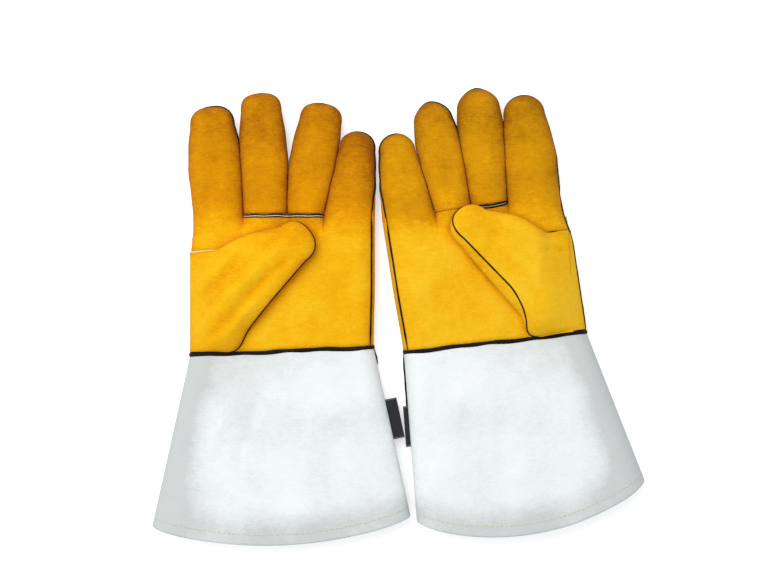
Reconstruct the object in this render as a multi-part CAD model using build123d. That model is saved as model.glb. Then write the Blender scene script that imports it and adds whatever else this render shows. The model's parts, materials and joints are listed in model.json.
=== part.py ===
"""A pair of lined split-leather gauntlet gloves, lying palm up side by side.

Each glove is modelled once in its own flat frame, in millimetres: the origin is on the table under the
middle of the wrist seam, +Y runs to the fingertips, +X to the little finger and +Z up out of the palm.
That frame is the left hand's. The right glove is its mirror image, laid down at a place and a turn.

A glove is seven bodies: the hand, four fingers and the thumb, which curl towards the palm, and the
cuff, which folds at the wrist. Every hinge lies on the palm side, so each body swings clear of the
leather beside it. Every body is front and back leather with a welt between them and a lining inside.
"""

from build123d import *

import os
from dataclasses import dataclass
from math import acos, atan2, cos, degrees, hypot, radians, sin, tan

# Sheet materials
LEATHER = 1.5  # split leather
LINING = 1.0  # fleece and canvas lining
LINING_GAP = 0.15  # between a lining and its leather
WELT_THICK = 1.2  # strip sewn into the seams
WELT_PROUD = 0.8  # how far a welt stands out of its seam
LABEL_THICK = 0.5

# Hand and fingers
HAND_LENGTH = 107.0  # wrist seam to the finger crotches
DEPTH = 24.0  # palm to back of the filled-out hand
RIM_FLAT = 0.2  # straight band between the rounded halves of a side
HINGE_GAP = 0.4  # between two bodies at a hinge
NEIGHBOUR_GAP = 0.8  # between the welts of two fingers at their bases
OVERRUN = 30.0  # how far a shape runs past the plane that trims it
SPACE = 300.0  # further than the glove reaches in any direction


@dataclass(frozen=True)
class Finger:
    """One finger of the cutting pattern, the same on both gloves."""

    name: str
    base: float  # width at the crotches
    tip_radius: float
    length: float  # crotches to fingertip


FINGERS = (
    Finger("index", 42.0, 17.0, 86.0),
    Finger("middle", 34.0, 15.8, 95.0),
    Finger("ring", 29.0, 15.8, 88.0),
    Finger("little", 39.0, 15.5, 66.0),
)
HAND_WIDTH = sum(f.base for f in FINGERS)
FIRST_SEWN, LAST_SEWN = 1, 2  # the fingers whose fronts are sewn on along one seam
BASE_WELT_WIDTH = 1.6
BASE_WELT_HEIGHT = 0.8

# Thumb
THUMB_DEPTH = 16.0  # of the thumb, folded over the palm
REST_GAP = 0.4  # between the thumb and the palm below it
THUMB_TOP = (-51.0, 78.4)  # upper end of the thumb's fold line
THUMB_HEEL = (-25.0, 16.5)  # lower end of the fold line
THUMB_TIP_RADIUS = 18.0
ROOT_SEAM_Y = 76.8  # where the thumb panel's upper seam meets the glove's edge
ROOT_FOOT_X = -33.0  # where its lower seam meets the wrist
ROOT_WRIST_GAP = 3.0  # from the wrist seam to the foot of the thumb panel
ROOT_ROUND = 12.0

# Wrist and cuff
WRIST_SLANT = 2.5  # degrees that the wrist seam climbs towards the little finger
HEM_TURN = 9.0  # turned-in edge of the cuff
LABEL_LONG = 32.0
LABEL_DROP = 39.0  # wrist seam to the label, down the side

MID = DEPTH / 2
SEAM = (MID - WELT_THICK / 2, MID + WELT_THICK / 2)  # the heights that the side welts fill
SKIN = (LEATHER + LINING_GAP, LEATHER + LINING_GAP + LINING)  # faces of the lining
THUMB_FLOOR = DEPTH + REST_GAP
THUMB_ROOF = THUMB_FLOOR + THUMB_DEPTH


@dataclass(frozen=True)
class Lay:
    """How one glove lies: what differs from one glove of the pair to the other."""

    name: str
    mirrored: bool
    place: tuple  # wrist origin on the table
    turn: float  # degrees about +Z
    leans: tuple  # of the four fingers, in degrees towards the little finger
    thumb_tip: tuple  # centre of the thumb's round end, across and down from the crotches
    cuff_length: float  # wrist seam to the lowest point of the curved hem
    thumb_corner: tuple  # hem's end on the thumb's side, across and up from its lowest point
    little_corner: tuple  # hem's end on the little finger's side, likewise
    mouth_depth: float  # palm to back at the cuff's mouth
    label_out: float  # how far the label shows


LAYS = (
    Lay(
        name="left",
        mirrored=False,
        place=(0.0, 0.0),
        turn=0.0,
        leans=(-2.0, -1.6, 7.0, 6.8),
        thumb_tip=(9.4, 24.7),
        cuff_length=153.0,
        thumb_corner=(-99.6, 14.2),
        little_corner=(99.0, 25.5),
        mouth_depth=28.0,
        label_out=9.8,
    ),
    Lay(
        name="right",
        mirrored=True,
        place=(167.0, 7.0),
        turn=8.8,
        leans=(-0.6, -2.4, -0.5, -2.2),
        thumb_tip=(1.5, 19.8),
        cuff_length=148.0,
        thumb_corner=(-98.3, 24.9),
        little_corner=(82.0, 20.0),
        mouth_depth=34.0,
        label_out=4.0,
    ),
)


# ---------------------------------------------------------------- shapes


def slab(low, high):
    """All space between two heights."""
    return extrude(Plane.XY.offset(low) * Rectangle(4 * SPACE, 4 * SPACE), high - low)


def beyond(shape, plane):
    """The part of a shape on the side that the plane's normal points to."""
    return split(shape, bisect_by=plane, keep=Keep.TOP)


def upright(point, towards, ahead=0.0):
    """A vertical plane whose normal is the flat direction, moved ahead along it."""
    long = hypot(*towards)
    unit = (towards[0] / long, towards[1] / long)
    origin = (point[0] + unit[0] * ahead, point[1] + unit[1] * ahead, 0)
    return Plane(origin=origin, x_dir=(-unit[1], unit[0], 0), z_dir=(unit[0], unit[1], 0))


def pillow(outline, low, high, inset, rounding):
    """An outline filled out between two heights with rounded rims, the whole drawn in by inset."""
    block = extrude(Plane.XY.offset(low + inset) * outline(inset), high - low - 2 * inset)
    faces = block.faces().sort_by(Axis.Z)
    rims = faces[0].edges() + faces[-1].edges()
    return fillet(rims, rounding - inset)


def rim_strip(outline, outward=WELT_PROUD, inward=LEATHER):
    """A flat strip that follows an outline at seam height, from inward to outward of it."""
    return extrude(Plane.XY.offset(SEAM[0]) * (outline(-outward) - outline(inward)), WELT_THICK)


def tapered(base, centre, radius):
    """The outline of a finger, for any inset: a round tip, and straight sides through the base's ends.

    The base's ends are given from the left, looking towards the tip. The sides run on past the base.
    """
    angles = []
    for end, hand in zip(base, (-1, 1)):
        dx, dy = end[0] - centre[0], end[1] - centre[1]
        angles.append(atan2(dy, dx) + hand * acos(radius / hypot(dx, dy)))
    normals = [(cos(a), sin(a)) for a in angles]
    crown = atan2(centre[1] - (base[0][1] + base[1][1]) / 2, centre[0] - (base[0][0] + base[1][0]) / 2)

    def outline(inset):
        round_tip = radius - inset
        touch = [(centre[0] + n[0] * round_tip, centre[1] + n[1] * round_tip) for n in normals]
        feet = []
        for end, normal, hand in zip(base, normals, (-1, 1)):
            down = (hand * normal[1], -hand * normal[0])
            feet.append(tuple(end[i] - normal[i] * inset + down[i] * OVERRUN for i in (0, 1)))
        top = (centre[0] + cos(crown) * round_tip, centre[1] + sin(crown) * round_tip)
        sides = Polyline(touch[0], feet[0], feet[1], touch[1])
        return make_face([sides, ThreePointArc(touch[1], top, touch[0])])

    return outline


def convex(points, insets):
    """A convex outline given anticlockwise, with each side moved in by its own distance."""
    sides = []
    for (x0, y0), (x1, y1), inset in zip(points, points[1:] + points[:1], insets):
        long = hypot(x1 - x0, y1 - y0)
        normal = ((y1 - y0) / long, -(x1 - x0) / long)
        sides.append((normal, normal[0] * x0 + normal[1] * y0 - inset))
    corners = []
    for (m, c), (n, d) in zip(sides[-1:] + sides[:-1], sides):
        cross = m[0] * n[1] - m[1] * n[0]
        corners.append(((c * n[1] - d * m[1]) / cross, (d * m[0] - c * n[0]) / cross))
    return make_face(Polyline(*corners, close=True))


# ---------------------------------------------------------------- fingers


def finger_base(number):
    """The ends of one finger's base along the crotch line, from the thumb's side."""
    start = -HAND_WIDTH / 2 + sum(f.base for f in FINGERS[:number])
    half_gap = WELT_PROUD + NEIGHBOUR_GAP / 2
    return start + half_gap, start + FINGERS[number].base - half_gap


def tube_parts(name, outline, low, high, cut):
    """Front, back, welt and lining of a finger-like tube, trimmed open at its base."""
    rounding = (high - low) / 2 - RIM_FLAT / 2
    outer, under, inner, hollow = (pillow(outline, low, high, d, rounding) for d in (0, LEATHER, *SKIN))
    leather = outer - under
    rise = (low + high) / 2 - MID
    return {
        f"{name}_front": beyond(leather & slab(SEAM[1] + rise, SPACE), cut),
        f"{name}_back": beyond(leather & slab(0, SEAM[0] + rise), cut),
        f"{name}_welt": beyond(rim_strip(outline).translate((0, 0, rise)), cut),
        f"{name}_lining": beyond(inner - hollow, cut),
    }


def finger_parts(lay, number):
    """One finger, from its base at the crotches to its tip."""
    finger = FINGERS[number]
    x0, x1 = finger_base(number)
    lean = radians(lay.leans[number])
    reach = (finger.length - finger.tip_radius) / cos(lean)
    centre = ((x0 + x1) / 2 + reach * sin(lean), HAND_LENGTH + reach * cos(lean))
    outline = tapered(((x0, HAND_LENGTH), (x1, HAND_LENGTH)), centre, finger.tip_radius)
    cut = upright((0, HAND_LENGTH), (0, 1), HINGE_GAP / 2)
    return tube_parts(finger.name, outline, 0, DEPTH, cut)


# ---------------------------------------------------------------- thumb


def thumb_fold():
    """The middle of the thumb's fold line, and the flat direction square to it, towards the tip."""
    (x0, y0), (x1, y1) = THUMB_TOP, THUMB_HEEL
    return ((x0 + x1) / 2, (y0 + y1) / 2), (y0 - y1, x1 - x0)


def thumb_parts(lay):
    """The free thumb, folded over the palm, from its fold line to its tip."""
    across, down = lay.thumb_tip
    outline = tapered((THUMB_TOP, THUMB_HEEL), (across, HAND_LENGTH - down), THUMB_TIP_RADIUS)
    cut = upright(*thumb_fold(), HINGE_GAP / 2)
    return tube_parts("thumb", outline, THUMB_FLOOR, THUMB_ROOF, cut)


def root_solid(inset):
    """The raised root of the thumb, which joins the palm's edge to the thumb's fold line."""
    middle, square = thumb_fold()
    edge = -HAND_WIDTH / 2
    foot = [(x, x * tan(radians(WRIST_SLANT)) + ROOT_WRIST_GAP + WELT_THICK) for x in (edge, ROOT_FOOT_X)]
    corners = [(edge, ROOT_SEAM_Y), *foot, THUMB_HEEL, THUMB_TOP]
    block = extrude(
        Plane.XY.offset(SEAM[1]) * convex(corners, (inset, inset, inset, -OVERRUN, inset)),
        THUMB_ROOF - inset - SEAM[1],
    )
    rims = block.faces().sort_by(Axis.Z)[-1].edges()
    dome = fillet(rims, ROOT_ROUND - inset)
    return beyond(dome, upright(middle, (-square[0], -square[1]), HINGE_GAP / 2))


# ---------------------------------------------------------------- hand


def wrist_plane(ahead, up=1):
    """The slanted plane of the wrist seam, moved ahead towards the fingers (up 1) or the cuff (up -1)."""
    slant = radians(WRIST_SLANT)
    return upright((0, 0), (-sin(slant) * up, cos(slant) * up), ahead)


def hand_solid(inset):
    """The hand filled out from below the wrist to above the crotches, with rounded sides."""
    section = Pos(0, -OVERRUN, MID) * Rot(90, 0, 0) * Rectangle(HAND_WIDTH - 2 * inset, DEPTH - 2 * inset)
    section = fillet(section.vertices(), MID - RIM_FLAT / 2 - inset)
    return extrude(section, HAND_LENGTH + 2 * OVERRUN, dir=(0, 1, 0))


def between_hinges(shape):
    """A shape trimmed to the hand's own stretch, from the wrist welt to the finger crotches."""
    above = beyond(shape, wrist_plane(HINGE_GAP / 2 + WELT_THICK))
    return beyond(above, upright((0, HAND_LENGTH), (0, -1), HINGE_GAP / 2))


def hand_parts():
    """The palm, back, thumb root and lining of the hand, with the welts sewn to it."""
    root, root_under, root_inner, root_hollow = (root_solid(d) for d in (0, LEATHER, *SKIN))
    hollow = hand_solid(LEATHER)
    leather = between_hinges(hand_solid(0) - hollow)
    dome = between_hinges(root - root_under - hollow)
    lining = between_hinges(hand_solid(SKIN[0]) + root_inner - hand_solid(SKIN[1]) - root_hollow)
    return {
        "palm_panel": (leather & slab(SEAM[1], SPACE)) - root,
        "thumb_root": dome,
        "back_panel": leather & slab(0, SEAM[0]),
        "hand_lining": lining,
        "hand_welts": Compound(children=[*side_welts(), base_welt(), wrist_welt()]),
    }


def side_welts():
    """The welts in the two side seams of the hand."""

    def outline(inset):
        return Pos(0, HAND_LENGTH / 2) * Rectangle(HAND_WIDTH - 2 * inset, HAND_LENGTH + 2 * OVERRUN)

    return list(between_hinges(rim_strip(outline)).solids())


def base_welt():
    """The welt that shows along the seam under the sewn-on finger fronts."""
    x0, x1 = finger_base(FIRST_SEWN)[0], finger_base(LAST_SEWN)[1]
    top = HAND_LENGTH - HINGE_GAP / 2
    strip = Pos((x0 + x1) / 2, top - BASE_WELT_WIDTH / 2, DEPTH + BASE_WELT_HEIGHT / 2)
    return strip * Box(x1 - x0, BASE_WELT_WIDTH, BASE_WELT_HEIGHT)


def wrist_welt():
    """The welt ring in the seam between the hand and the cuff, flat where it lies on the table."""
    ring = (hand_solid(-WELT_PROUD) - hand_solid(LEATHER)) & slab(0, SPACE)
    return beyond(beyond(ring, wrist_plane(HINGE_GAP / 2)), wrist_plane(-HINGE_GAP / 2 - WELT_THICK, -1))


# ---------------------------------------------------------------- cuff


def hem_corners(lay):
    """The two ends of the curved hem, on the thumb's side and on the little finger's."""
    return [(across, up - lay.cuff_length) for across, up in (lay.thumb_corner, lay.little_corner)]


def cuff_edges(lay, y):
    """The two side edges of the flared cuff at a distance along the glove."""
    half = HAND_WIDTH / 2
    (tx, ty), (lx, ly) = hem_corners(lay)
    return -half + (tx + half) * y / ty, half + (lx - half) * y / ly


def seam_plane(lay):
    """The plane of the cuff's side seam, half way up the cuff all the way down to its mouth."""
    down_the_seam = (0, (lay.mouth_depth - DEPTH) / 2, lay.cuff_length)
    return Plane(origin=(0, 0, MID), x_dir=(1, 0, 0), z_dir=down_the_seam)


def cuff_solid(lay, inset):
    """The flared cuff filled out, from above the wrist to past the hem."""
    sections = []
    for y in (OVERRUN, -lay.cuff_length - OVERRUN):
        x0, x1 = cuff_edges(lay, y)
        depth = DEPTH - (lay.mouth_depth - DEPTH) * y / lay.cuff_length
        slot = SlotOverall(x1 - x0 - 2 * inset, depth - 2 * inset)
        sections.append(Pos((x0 + x1) / 2, y, depth / 2) * Rot(90, 0, 0) * slot)
    return loft(sections, ruled=True)


def hem_band(lay, rise, height):
    """All space in a band along the curved hem, from rise above the hem's edge to height above that."""
    first, last = hem_corners(lay)
    lowest = ((first[0] + last[0]) / 2, -lay.cuff_length)
    arc = ThreePointArc(first, lowest, last)
    band = Circle(arc.radius - rise) - Circle(arc.radius - rise - height)
    return extrude(Pos(arc.arc_center.X, arc.arc_center.Y) * band, SPACE)


def below_wrist(shape):
    """A shape trimmed to the cuff's side of the wrist seam."""
    return beyond(shape, wrist_plane(HINGE_GAP / 2, -1))


def label_solid(lay):
    """The woven label, held in the side seam below the wrist."""
    (x0, y0), (x1, y1) = (HAND_WIDTH / 2, 0), hem_corners(lay)[1]
    flare = degrees(atan2(x1 - x0, y0 - y1))
    wide = LEATHER + lay.label_out
    place = Pos(x0, y0) * Rot(0, 0, flare) * Pos(wide / 2 - LEATHER, -LABEL_DROP - LABEL_LONG / 2)
    return seam_plane(lay) * place * Box(wide, LABEL_LONG, LABEL_THICK)


def cuff_parts(lay):
    """The wrapped cuff leather with its turned-in hem, lining, side welt and label."""
    outer, under, turn_under = (cuff_solid(lay, d) for d in (0, LEATHER, 2 * LEATHER))
    inner, hollow = (cuff_solid(lay, d) for d in SKIN)
    seam = seam_plane(lay) * Pos(SPACE, 0) * Box(2 * SPACE, 2 * SPACE, WELT_THICK)
    body = hem_band(lay, 0, lay.cuff_length + OVERRUN)
    above_turn = hem_band(lay, HEM_TURN + LINING_GAP, lay.cuff_length + OVERRUN)
    label = label_solid(lay)
    return {
        "cuff_panel": below_wrist((outer - under) & body) - seam,
        "cuff_hem": (under - turn_under) & hem_band(lay, 0, HEM_TURN),
        "cuff_lining": below_wrist((inner - hollow) & above_turn),
        "cuff_welt": below_wrist((cuff_solid(lay, -WELT_PROUD) - under) & seam & body) - label,
        "cuff_label": label,
    }


# ---------------------------------------------------------------- the pair


def to_pair(shape, lay):
    """A shape of the canonical glove, laid down as one glove of the pair."""
    if lay.mirrored:
        shape = mirror(shape, about=Plane.YZ)
    return Pos(*lay.place, 0) * Rot(0, 0, lay.turn) * shape


def glove(lay):
    """Every piece of one glove, by its node name."""
    parts = hand_parts()
    for number in range(len(FINGERS)):
        parts.update(finger_parts(lay, number))
    parts.update(thumb_parts(lay))
    parts.update(cuff_parts(lay))
    return {f"{lay.name}_{name}": to_pair(shape, lay) for name, shape in parts.items()}


def main():
    pair = {}
    for lay in LAYS:
        pair.update(glove(lay))
    box = Compound(children=[s for shape in pair.values() for s in shape.solids()]).bounding_box()
    middle = box.center()
    os.makedirs("parts", exist_ok=True)
    for name, shape in pair.items():
        solids = [Pos(-middle.X, -middle.Y, 0) * s for s in shape.solids()]
        export_step(Compound(children=solids) if len(solids) > 1 else solids[0], f"parts/{name}.step")
    print("pair measures", [round(v, 1) for v in box.size])
    print("centred from", round(middle.X, 3), round(middle.Y, 3))


if __name__ == "__main__":
    main()
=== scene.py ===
# %% [markdown]
# # A pair of lined split-leather gauntlets, lying palm up
#
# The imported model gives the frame: where each glove lies, how its bodies turn, and how large every part
# is. Here each part gets the surface that a sewn leather glove has. A glove is made of flat leather
# pieces, so each piece is made as one sheet: a grid of points worked out by a formula, given the
# leather's thickness, and joined to its neighbours along the seams.

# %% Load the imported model
import json

import bmesh
import bpy
import numpy as np
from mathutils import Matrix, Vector


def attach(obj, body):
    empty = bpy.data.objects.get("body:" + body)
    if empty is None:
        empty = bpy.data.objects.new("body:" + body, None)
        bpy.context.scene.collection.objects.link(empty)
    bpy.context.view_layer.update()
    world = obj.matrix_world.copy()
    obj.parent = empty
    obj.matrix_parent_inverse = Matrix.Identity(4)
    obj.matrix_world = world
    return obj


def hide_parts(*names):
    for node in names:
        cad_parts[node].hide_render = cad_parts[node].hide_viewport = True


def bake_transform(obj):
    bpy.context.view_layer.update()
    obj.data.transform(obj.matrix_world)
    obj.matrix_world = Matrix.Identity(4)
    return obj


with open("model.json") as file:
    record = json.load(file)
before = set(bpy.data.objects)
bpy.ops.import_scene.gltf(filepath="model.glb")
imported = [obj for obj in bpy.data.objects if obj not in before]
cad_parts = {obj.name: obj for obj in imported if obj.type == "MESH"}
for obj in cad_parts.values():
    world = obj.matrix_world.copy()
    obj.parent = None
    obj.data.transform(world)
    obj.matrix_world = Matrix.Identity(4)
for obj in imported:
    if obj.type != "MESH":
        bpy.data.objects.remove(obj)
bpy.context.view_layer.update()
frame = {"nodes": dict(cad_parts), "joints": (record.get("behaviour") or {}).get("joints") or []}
MM = 0.001
JOINTS = {joint["name"]: joint for joint in frame["joints"]}

# %% [markdown]
# ## One pattern, laid down twice
#
# Both gloves are cut from one pattern, so every shape is worked out once, in millimetres, in the glove's
# own flat frame: the origin is under the middle of the wrist seam, +Y points to the fingertips, +X to the
# little finger and +Z up out of the palm. The `Glove` below reads from the joints where that frame lies
# on the table. The right glove's frame is a mirror image, so its faces are wound the other way round.

# %% The glove's own frame
FINGERS = ("index", "middle", "ring", "little")


def circle_through(points):
    """The centre and radius of the circle nearest to flat points.

    Such a circle is x^2 + y^2 = 2ax + 2by + c, which least squares solves for a, b and c.
    """
    x, y = points[:, 0], points[:, 1]
    system = np.column_stack([2 * x, 2 * y, np.ones_like(x)])
    a, b, c = np.linalg.lstsq(system, x**2 + y**2, rcond=None)[0]
    return np.array([a, b]), float(np.sqrt(c + a**2 + b**2))


class Glove:
    """Where one glove lies, and the sizes that its CAD nodes give."""

    def __init__(self, side):
        wrist, curl = JOINTS[f"{side}_wrist_fold"], JOINTS[f"{side}_index_curl"]
        self.side = side
        self.mirrored = side == "right"
        across = np.array(curl["axis"][:2], float)
        self.y_axis = np.array([-across[1], across[0]])
        self.x_axis = -across if self.mirrored else across
        self.origin = np.array(wrist["pos_m"][:2]) / MM
        self.depth = wrist["pos_m"][2] / MM
        self.middle = self.depth / 2
        self.length = float((np.array(curl["pos_m"][:2]) / MM - self.origin) @ self.y_axis)
        seam = np.array(wrist["axis"][:2])
        self.slant = float((seam @ self.y_axis) / (seam @ self.x_axis))
        palm = self.points("palm_panel")
        self.half_width = float(palm[:, 0].max())

    def body(self, name):
        """The full name of one of this glove's bodies or nodes."""
        return f"{self.side}_{name}"

    def points(self, node):
        """The points of a CAD node in the glove's own frame, in millimetres."""
        mesh = frame["nodes"][self.body(node)].data
        co = np.empty(len(mesh.vertices) * 3, np.float32)
        mesh.vertices.foreach_get("co", co)
        co = co.reshape(-1, 3).astype(float) / MM
        flat = co[:, :2] - self.origin
        return np.column_stack([flat @ self.x_axis, flat @ self.y_axis, co[:, 2]])

    def place(self, points):
        """Points of the glove's own frame, laid down on the table, in metres."""
        points = np.asarray(points, float)
        flat = self.origin + points[..., :1] * self.x_axis + points[..., 1:2] * self.y_axis
        return np.concatenate([flat, points[..., 2:]], axis=-1) * MM


GLOVES = {side: Glove(side) for side in ("left", "right")}
for glove in GLOVES.values():
    size = (round(glove.length, 1), round(glove.half_width, 1))
    print(glove.side, "wrist", glove.origin.round(1), "hand length and half width", size)

# %% [markdown]
# ## From a grid of points to a sheet of leather
#
# A grid of points is a surface with no thickness. Blender's Solidify could thicken it, but it shades the
# cut edge smooth, and the light would show a line where two pieces meet. So the second face is worked out
# here: every point is moved inwards along its normal by the leather's thickness, and a flat-shaded rim
# closes the gap. The result is a closed solid. A welt or a stitch is a closed tube with no thickness.

# %% Mesh helpers


def unit(vectors):
    """Vectors divided by their length, where they have one."""
    return vectors / np.maximum(np.linalg.norm(vectors, axis=-1, keepdims=True), 1e-9)


def step(x, start, end):
    """0 before start, 1 after end, and 3t^2 - 2t^3 between them."""
    t = np.clip((x - start) / (end - start), 0, 1)
    return t * t * (3 - 2 * t)


def normals_of(grid, closed=False):
    """Unit normals, facing out of the shape: the cross product of the steps along columns and rows."""
    along_rows = np.gradient(grid, axis=0)
    if closed:
        along_columns = (np.roll(grid, -1, axis=1) - np.roll(grid, 1, axis=1)) / 2
    else:
        along_columns = np.gradient(grid, axis=1)
    normals = np.cross(along_columns, along_rows)
    weak = np.linalg.norm(normals, axis=-1) < 1e-6
    fallback = unit(grid - grid.mean(axis=(0, 1)))
    normals = np.where(weak[..., None], fallback * 1e-6, normals)
    spread = grid - grid.mean(axis=(0, 1))
    outward = 1.0 if np.sum(normals * spread) > 0 else -1.0
    return unit(normals) * np.where(weak, 1.0, outward)[..., None], outward


def quads_of(rows, columns, closed=False):
    """The corner numbers of every quad of a grid, row by row."""
    numbers = np.arange(rows * columns).reshape(rows, columns)
    if closed:
        numbers = np.concatenate([numbers, numbers[:, :1]], axis=1)
    corners = (numbers[:-1, :-1], numbers[:-1, 1:], numbers[1:, 1:], numbers[1:, :-1])
    return np.stack(corners, axis=-1).reshape(-1, 4)


print("half way up a step:", float(step(0.5, 0, 1)))

# %% A mesh from points and quads


def build_mesh(name, points, quads, glove, flip=False, flat_from=None, tone=None):
    """An object from points in the glove's frame and quads. Quads from flat_from on are shaded flat."""
    if flip != glove.mirrored:
        quads = quads[:, ::-1]
    mesh = bpy.data.meshes.new(name)
    mesh.vertices.add(len(points))
    mesh.vertices.foreach_set("co", glove.place(points).astype(np.float32).ravel())
    mesh.loops.add(quads.size)
    mesh.loops.foreach_set("vertex_index", quads.astype(np.int32).ravel())
    mesh.polygons.add(len(quads))
    mesh.polygons.foreach_set("loop_start", np.arange(0, quads.size, 4, dtype=np.int32))
    smooth = np.ones(len(quads), bool)
    if flat_from is not None:
        smooth[flat_from:] = False
    mesh.update(calc_edges=True)
    mesh.polygons.foreach_set("use_smooth", smooth)
    values = np.full(len(points), 0.5) if tone is None else np.asarray(tone, float).ravel()
    attribute = mesh.attributes.new("tone", "FLOAT", "POINT")
    attribute.data.foreach_set("value", values.astype(np.float32))
    work = bmesh.new()
    work.from_mesh(mesh)
    bmesh.ops.remove_doubles(work, verts=work.verts, dist=2e-6)
    work.to_mesh(mesh)
    work.free()
    piece = bpy.data.objects.new(name, mesh)
    bpy.context.scene.collection.objects.link(piece)
    return piece


def leather_sheet(name, grid, thickness, glove, tone=None, closed=False):
    """A grid given a thickness: the second face lies inwards along the normals, and flat rims close it."""
    rows, columns = grid.shape[:2]
    normals, outward = normals_of(grid, closed)
    inner = grid - normals * thickness
    inner[..., 2] = np.maximum(inner[..., 2], 0.1)
    count = rows * columns
    faces = quads_of(rows, columns, closed)
    numbers = np.arange(count).reshape(rows, columns)
    if closed:
        loops = [np.append(numbers[0], numbers[0, 0]), np.append(numbers[-1], numbers[-1, 0])[::-1]]
    else:
        loops = [np.concatenate([numbers[0], numbers[1:, -1], numbers[-1, -2::-1], numbers[-2::-1, 0]])]
    rims = [np.column_stack([loop[1:], loop[:-1], loop[:-1] + count, loop[1:] + count]) for loop in loops]
    quads = np.concatenate([faces, faces[:, ::-1] + count, *rims])
    points = np.concatenate([grid.reshape(-1, 3), inner.reshape(-1, 3)])
    tones = None if tone is None else np.tile(np.broadcast_to(tone, (rows, columns)).ravel(), 2)
    return build_mesh(name, points, quads, glove, outward < 0, 2 * len(faces), tones)


print("quads in a grid of 3 rows by 4 columns:", len(quads_of(3, 4)))

# %% Strips
STRIP_SIDES = 8


def strip(name, path, sideways, half_width, half_height, glove, up=(0.0, 0.0, 1.0)):
    """A strip with an oval section carried along a path: path + sideways w cos a + up h sin a."""
    angle = np.arange(STRIP_SIDES) * 2 * np.pi / STRIP_SIDES
    up = np.broadcast_to(np.array(up, float), path.shape)[:, None, :]
    wide = np.broadcast_to(half_width, len(path))[:, None, None]
    high = np.broadcast_to(half_height, len(path))[:, None, None]
    across = sideways[:, None, :] * np.cos(angle)[None, :, None]
    rise = up * np.sin(angle)[None, :, None]
    grid = path[:, None, :] + across * wide + rise * high
    caps = [np.repeat(grid[i].mean(axis=0)[None], STRIP_SIDES, axis=0)[None] for i in (0, -1)]
    grid = np.concatenate([caps[0], grid, caps[1]])
    grid[..., 2] = np.maximum(grid[..., 2], 0.05)
    quads = quads_of(len(grid), STRIP_SIDES, closed=True)
    centre = grid.mean(axis=1, keepdims=True)
    along_columns = np.roll(grid, -1, axis=1) - np.roll(grid, 1, axis=1)
    outward = np.sum(np.cross(along_columns, np.gradient(grid, axis=0)) * (grid - centre))
    return build_mesh(name, grid.reshape(-1, 3), quads, glove, outward < 0)


print("quads in one step of a strip:", len(quads_of(2, STRIP_SIDES, closed=True)))

# %% [markdown]
# ## The soft cross-section
#
# Cut through a finger, the hand or the cuff anywhere and the outline is a flattened tube: round at the
# two sides, and nearly flat above and below. One number, `p`, runs round it: -1 at the thumb's side, 0 on
# top, 1 at the little finger's side and 2 underneath. The front leather is then the stretch of `p` over
# the top, the back leather is the rest, and a seam that has rolled to one side is only another value.

# %% The section, and a tube of sections


def section(p, half_width, half_depth, rounding):
    """Across and rise at p. The sides are quarter ovals, and a flat stretch lies between them.

    Near a side, across = width - rounding + rounding cos a and rise = depth sin a, and a goes from 0 to
    90 degrees.
    """
    p = (p + 2) % 4 - 2
    top = np.abs(p) <= 1
    q = np.where(top, p, np.sign(p) * (2 - np.abs(p)))
    rounding = np.minimum(rounding, half_width)
    share = np.pi / 2 * rounding / np.maximum(np.pi / 2 * rounding + half_width - rounding, 1e-9)
    reach = (1 - np.abs(q)) / np.maximum(share, 1e-9)
    angle = np.clip(reach, 0, 1) * np.pi / 2
    rounded = half_width - rounding + rounding * np.cos(angle)
    flat = (half_width - rounding) * np.abs(q) / np.maximum(1 - share, 1e-9)
    across = np.sign(q) * np.where(reach < 1, rounded, flat)
    return across, np.where(top, 1, -1) * np.sin(angle) * half_depth


def tube(p, centre, sideways, half_width, half_depth, middle, rounding):
    """Sections set along a line of centres. Every argument but p has one value for each row."""
    column = [np.asarray(v, float)[:, None] for v in (half_width, half_depth, rounding)]
    across, rise = section(np.atleast_2d(p), *column)
    flat = centre[:, None, :] + sideways[:, None, :] * across[..., None]
    height = np.broadcast_to(np.asarray(middle, float)[:, None] + rise, across.shape)
    return np.concatenate([flat, height[..., None]], axis=-1)


print("across and rise near a side:", np.round(section(np.array([0.95]), 50.0, 12.0, 14.0), 1).ravel())

# %% [markdown]
# ## Softness
#
# Split leather that has been turned, stuffed with a lining and laid down is never flat: it has broad
# shallow swells a finger wide, and finer ones by the seams. They are a sum of sine waves in directions
# that a seeded generator picks, and they depend on the place alone, so two pieces that meet at a seam
# rise and fall together. A crease is a straight dip with a round bottom that fades towards both ends.

# %% Swells and creases


def swell(x, y, seed, shortest=18.0, longest=70.0, waves=9):
    """A sum of sines: each wave has its own direction, phase and length, and long waves are the higher."""
    draw = np.random.default_rng(seed)
    total = np.zeros(np.broadcast(x, y).shape)
    for _ in range(waves):
        heading, phase = draw.uniform(0, 2 * np.pi, 2)
        length = draw.uniform(shortest, longest)
        turn = 2 * np.pi * (x * np.cos(heading) + y * np.sin(heading)) / length
        total = total + np.sin(turn + phase) * length / longest
    return total / waves * 2.2


def crease(x, y, start, end, width, height):
    """A ridge or dip along a line: height x exp(-(distance / width)^2), fading over its last third."""
    start, end = np.array(start, float), np.array(end, float)
    long = np.linalg.norm(end - start)
    along_axis = (end - start) / long
    along = (x - start[0]) * along_axis[0] + (y - start[1]) * along_axis[1]
    away = (x - start[0]) * along_axis[1] - (y - start[1]) * along_axis[0]
    fade = step(along, -0.2 * long, 0.25 * long) * (1 - step(along, 0.75 * long, 1.2 * long))
    return height * fade * np.exp(-((away / width) ** 2))


def with_creases(rise, x, y, lines):
    """A rise with the ridges and dips of a list of lines added to it."""
    for start, end, width, height in lines:
        rise = rise + crease(x, y, start, end, width, height)
    return rise


print("swell at one place:", round(float(swell(10.0, 20.0, 11)), 2))

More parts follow.
